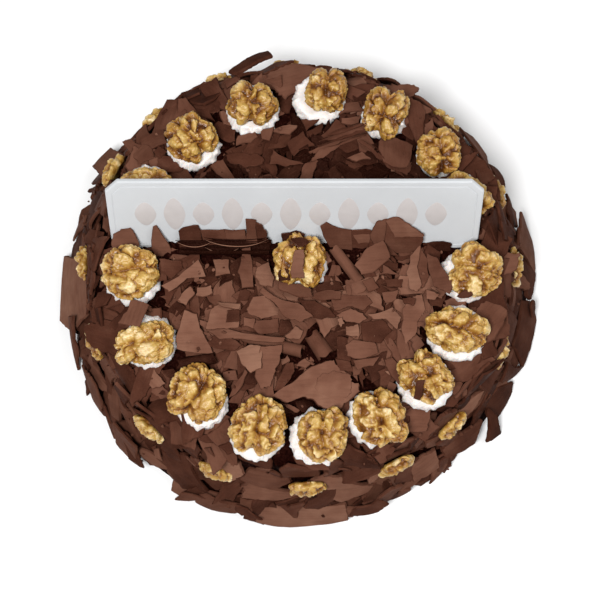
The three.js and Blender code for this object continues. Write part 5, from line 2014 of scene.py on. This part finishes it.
# Scrolls: steps round the wall, stations along it, how much thinner they are at one end and how much
# tighter the wall is at its inner edge, and the angle from which an edge is sharp
SCROLL_STEPS = 26
SCROLL_STATIONS = 30
SCROLL_EDGE = 40
SCROLL_TAPER = 0.12
SCROLL_TIGHTENING = 0.1
# Height, wavelength and number of waves of the ragged ends and of the drift to the side; how far round a
# wall counts in those waves, how deep the ends are torn and at most, and how close to the ends that is
RAGGED = (0.9, 3, 6)
DRIFT = (0.3, 26, 6)
RAGGED_LENGTH = 9
RAGGED_DEPTH = 0.8
MOST_RAGGED = 2.5
END_POWER = 6
SCROLL_GRAIN_SHIFT = 100
# Thin curls that lie inside the scroll by the plaque: share of its length, radius, wall and offset
NESTED_CURLS = [
    (0.74, 2.3, 0.5, (5.6, 1.9, 4.6)),
    (0.42, 1.8, 0.45, (-16.2, 1.4, 5.0)),
    (0.4, 2.2, 0.45, (-1.5, -1.3, 2.8)),
]
NESTED_TURN = 210
# How far back their ends are swept, how much narrower they are there, and how far out that sets in
CURL_SWEEP = 4.6
CURL_MIDDLE = 0.3
CURL_DRAWN = 0.85
CURL_POWER = 2.4
# Tones of the curls: dark chocolate outside, darker inside as painted shade, and pale upper edges on the
# thin curls as painted highlight
CURL_TONES_AND_PAINTED_LIGHT = {"outside": -0.06, "inside": -0.14, "edge": 0.95}
# The upper layer of the front plate, which splits off along a crack: its corners from the plate's middle
SPLIT_LAYER = [
    (-0.5, 1.4), (6.1, 4.2), (8.2, 4.9), (16.6, 2.9), (16.8, -0.8),
    (16.9, -6.6), (12, -11.2), (6, -12.6), (2, -10), (-2, -4),
]
SPLIT_THICKNESS = 0.7
# How far it stands off at the crack, the way there, where it starts, how long it takes, and its range
SPLIT_HEIGHT = 0.75
SPLIT_WAY = (0.4, 0.9)
SPLIT_START = 6
SPLIT_RUN = 10
SPLIT_RANGE = (-0.5, 1)
FRONT_TONES = {"plate": 0.76, "layer": 0.72}


def scroll_wall(length, radius, turn, wall, middle, rng):
    """A curled shaving along X whose wall has its middle up or down; its lowest line is on z = 0."""
    share = np.linspace(0, 1, SCROLL_STEPS)
    along = np.linspace(-length / 2, length / 2, SCROLL_STATIONS)
    start = (90 if middle == "up" else 270) * DEG - turn / 2 * DEG
    angle = start + share * turn * DEG
    ragged = [fields_sum(line_points(share * RAGGED_LENGTH), rng, RAGGED) for _ in range(2)]
    drift = fields_sum(line_points(along), rng, DRIFT)
    rings = []
    for x, shift in zip(along, drift):
        outer = radius * (1 - SCROLL_TIGHTENING * share) * (1 - SCROLL_TAPER * (0.5 - x / length))
        loop = [np.stack([r * np.cos(angle), r * np.sin(angle)], 1) for r in (outer, outer - wall)]
        loop = np.concatenate([loop[0], loop[1][::-1]])
        torn = ragged[int(x > 0)]
        torn = np.clip(np.concatenate([torn, torn[::-1]]) + RAGGED_DEPTH, 0, MOST_RAGGED)
        near_end = (abs(x) / (length / 2)) ** END_POWER
        place = x - np.sign(x) * torn * near_end
        rings.append(np.c_[place, loop[:, 0] + shift, loop[:, 1]])
    rings = np.array(rings)
    rings[:, :, 2] -= rings[:, :, 2].min() - CLEARANCE
    return rings


def tube_triangles(stations, around):
    k = np.arange(around)
    after = (k + 1) % around
    faces = []
    for ring in range(stations - 1):
        low, high = ring * around, (ring + 1) * around
        faces.append(np.stack([low + k, high + after, low + after], 1))
        faces.append(np.stack([low + k, high + k, high + after], 1))
    half = around // 2
    for base, flip in ((0, False), ((stations - 1) * around, True)):
        for i in range(half - 1):
            a, b, c, e = base + i, base + i + 1, base + around - 2 - i, base + around - 1 - i
            pair = [(a, b, c), (a, c, e)]
            faces.append(np.array([t[::-1] for t in pair] if flip else pair))
    return np.concatenate(faces)


def boat_shaped(wall, swept):
    """The wall of a curl drawn together towards both ends, which are swept back."""
    half = np.abs(wall[:, :, 0]).max()
    share = np.clip(np.abs(wall[:, :, 0]) / half, 0, 1)
    middle = (wall[:, :, 1].max() + wall[:, :, 1].min()) / 2
    boat = wall.copy()
    boat[:, :, 1] = middle + (wall[:, :, 1] - middle) * (1 - CURL_DRAWN * share**CURL_POWER)
    boat[:, :, 1] += swept * (share**2 - CURL_MIDDLE)
    return boat


def curl_tones(wall, edge):
    """A dark curl, darker inside as painted shade, with its two upper edges in the tone given."""
    around = wall.shape[1]
    tones = np.full(wall.shape[:2], CURL_TONES_AND_PAINTED_LIGHT["outside"])
    tones[:, around // 2 :] = CURL_TONES_AND_PAINTED_LIGHT["inside"]
    tones[:, [0, around - 1]] = edge
    return tones.ravel()


def scroll_by_plaque(wall, length, rng):
    """A dark open scroll with thinner ones in it, of which the eye sees little but the pale edges, which
    are painted highlight.
    """
    walls, tones = [wall], [curl_tones(wall, CURL_TONES_AND_PAINTED_LIGHT["outside"])]
    for share, radius, thickness, offset in NESTED_CURLS:
        nested = scroll_wall(length * share, radius, NESTED_TURN, thickness, "down", rng)
        walls.append(boat_shaped(nested, CURL_SWEEP * share) + offset)
        tones.append(curl_tones(nested, CURL_TONES_AND_PAINTED_LIGHT["edge"]))
    return walls, np.concatenate(tones)


def scrolls(material):
    for number, (name, x, y, heading, length, radius, turn, middle) in enumerate(SCROLLS):
        rng = np.random.default_rng(SEEDS["scrolls"] + number)
        walls = [scroll_wall(length, radius, turn, SCROLL_WALL, middle, rng)]
        size = walls[0].shape[0] * walls[0].shape[1]
        tones = np.full(size, ROLL_TONES[number])
        if name == "scroll_by_plaque":
            walls, tones = scroll_by_plaque(walls[0], length, rng)
        local = np.concatenate([wall.reshape(-1, 3) for wall in walls])
        tube = tube_triangles(*walls[0].shape[:2])
        triangles = np.concatenate([tube + i * size for i in range(len(walls))])
        points = turned(local, heading * DEG) + (x, y, TOP_Z + BED_HEIGHT)
        grain = local + rng.uniform(-SCROLL_GRAIN_SHIFT, SCROLL_GRAIN_SHIFT, 3)
        looks = {"fields": {"tone": tones, "grain": grain}, "sharp": SCROLL_EDGE}
        piece = make_piece(name.replace("scroll", "curl"), points, triangles, [material], **looks)
        belongs(piece, "dark_chocolate", name)


def front_plate(materials):
    """A broken plate whose upper layer stands off along a crack and sinks back at the other side."""
    rng = np.random.default_rng(SEEDS["front"])
    heap = Heap()
    middle = np.array((FRONT_PLATE["x"], FRONT_PLATE["y"], TOP_Z + BED_HEIGHT + FRONT_PLATE["lift"]))
    points, triangles, rim = plate(FRONT_PLATE_CORNERS, SHARD_THICKNESS, rng, **BREAKS["front"])
    heap.add(points + middle, triangles, rim, FRONT_TONES["plate"], points)
    points, triangles, rim = plate(SPLIT_LAYER[::-1], SPLIT_THICKNESS, rng, **BREAKS["split"])
    x, y = points[:, 0], points[:, 1]
    proud = np.clip((SPLIT_WAY[0] * x + SPLIT_WAY[1] * y + SPLIT_START) / SPLIT_RUN, *SPLIT_RANGE)
    points[:, 2] += (SHARD_THICKNESS - SPLIT_THICKNESS) / 2 + SPLIT_HEIGHT * proud
    points[:, 2] -= FRONT_PLATE["bow"] * (x / FRONT_PLATE["half"]) ** 2
    heap.add(points + middle, triangles, rim, FRONT_TONES["layer"], points)
    belongs(heap.piece("front_plate", materials), "dark_chocolate", "plate_front")


# Stage, lights and camera

FLOOR_SIZE = 4.0
WORLD_STRENGTH = 0.16
LIT_PLACE = (0, 0, 0.04)
# Lights in metres and watts: name, place, width and power
LIGHTS = [
    ("key", (-0.25, -0.4, 1.2), 0.4, 16.0),
    ("fill", (0.6, 0.1, 1.1), 0.8, 6.3),
]
FRAME_PIXELS = 600
CAMERA = {
    "elevation": 77.5,
    "distance": 750.0,
    "target": (0.5, -14.2, 37.0),
    "focal_pixels": 1370.0,
    "sensor": 36.0,
    "clip": (0.05, 20),
}


def floor():
    bpy.ops.mesh.primitive_plane_add(size=FLOOR_SIZE, location=(0, 0, 0))
    plane = bpy.context.object
    plane.name = "floor"
    plane.data.materials.append(new_material("floor", "floor")[0])


def area_light(name, place, size, power):
    light = bpy.data.lights.new(name, "AREA")
    light.shape = "DISK"
    light.size = size
    light.energy = power
    lamp = bpy.data.objects.new(name, light)
    lamp.location = place
    lamp.rotation_euler = (Vector(LIT_PLACE) - Vector(place)).to_track_quat("-Z", "Y").to_euler()
    bpy.context.scene.collection.objects.link(lamp)


def lighting():
    world = bpy.data.worlds.new("studio")
    world.use_nodes = True
    background = world.node_tree.nodes["Background"]
    background.inputs["Color"].default_value = (*WHITE, 1)
    background.inputs["Strength"].default_value = WORLD_STRENGTH
    bpy.context.scene.world = world
    for light in LIGHTS:
        area_light(*light)
    bpy.context.scene.view_settings.view_transform = "Standard"
    bpy.context.scene.view_settings.look = "None"


def camera():
    """Looks down steeply from the front, as the photograph does."""
    elevation = CAMERA["elevation"] * DEG
    back = np.array([0, -math.cos(elevation), math.sin(elevation)])
    data = bpy.data.cameras.new("camera")
    data.sensor_width = CAMERA["sensor"]
    data.lens = CAMERA["focal_pixels"] / FRAME_PIXELS * data.sensor_width
    data.clip_start, data.clip_end = CAMERA["clip"]
    seen = bpy.data.objects.new("camera", data)
    seen.location = (np.array(CAMERA["target"]) + back * CAMERA["distance"]) * MM
    seen.rotation_euler = (math.pi / 2 - elevation, 0, 0)
    bpy.context.scene.collection.objects.link(seen)
    bpy.context.scene.camera = seen


def chocolate_shards(materials):
    """Lays all shards and crumbs, which are drawn one after the other, and joins them by kind."""
    rng = np.random.default_rng(SEEDS["shards"])
    draw = Draws(SHARD_SEED)
    on_top, on_side = top_bed(), side_bed()
    heaps = {name: Heap() for name in ("large_shards", "top_shards", "side_shards", "crumbs")}
    large, loose, low, crumbs = heaps.values()
    lay_source_shards(large, on_top, source_top_shards(draw), SHARD_THICKNESS, SOURCE_TONES["top"], rng)
    for find, where in ((source_rim_shards, "rim"), (source_side_shards, "side")):
        lay_source_shards(large, on_side, find(draw), SIDE_SHARD_THICKNESS, SOURCE_TONES[where], rng)
    lay_top_shards(loose, on_top, rng)
    lay_placed_plates(loose, on_top, rng)
    lay_foot_shards(loose, rng)
    lay_side_shards(low, on_side, rng)
    lay_big_shards(large, on_side, rng)
    lay_small_side_shards(low, on_side, rng)
    lay_crumbs(crumbs, on_top, top_spot, TOP_CRUMBS, rng)
    lay_crumbs(crumbs, on_side, partial(on_side.spot, *SIDE_CRUMB_ENDS), SIDE_CRUMBS, rng)
    for name, heap in heaps.items():
        belongs(heap.piece(name, materials), "chocolate_coating")


def main():
    camera()
    chocolate = [chocolate_face(), chocolate_break()]
    crumb_coat(crumb_material())
    chocolate_shards(chocolate)
    kernel_skin = walnut_material()
    walnut_halves(kernel_skin)
    side_walnuts(kernel_skin)
    cream_rosettes(cream_material())
    plaque(white_chocolate())
    plaque_ornament(beige_chocolate())
    scrolls(chocolate[0])
    front_plate(chocolate)
    floor()
    lighting()


main()
bpy.context.view_layer.update()
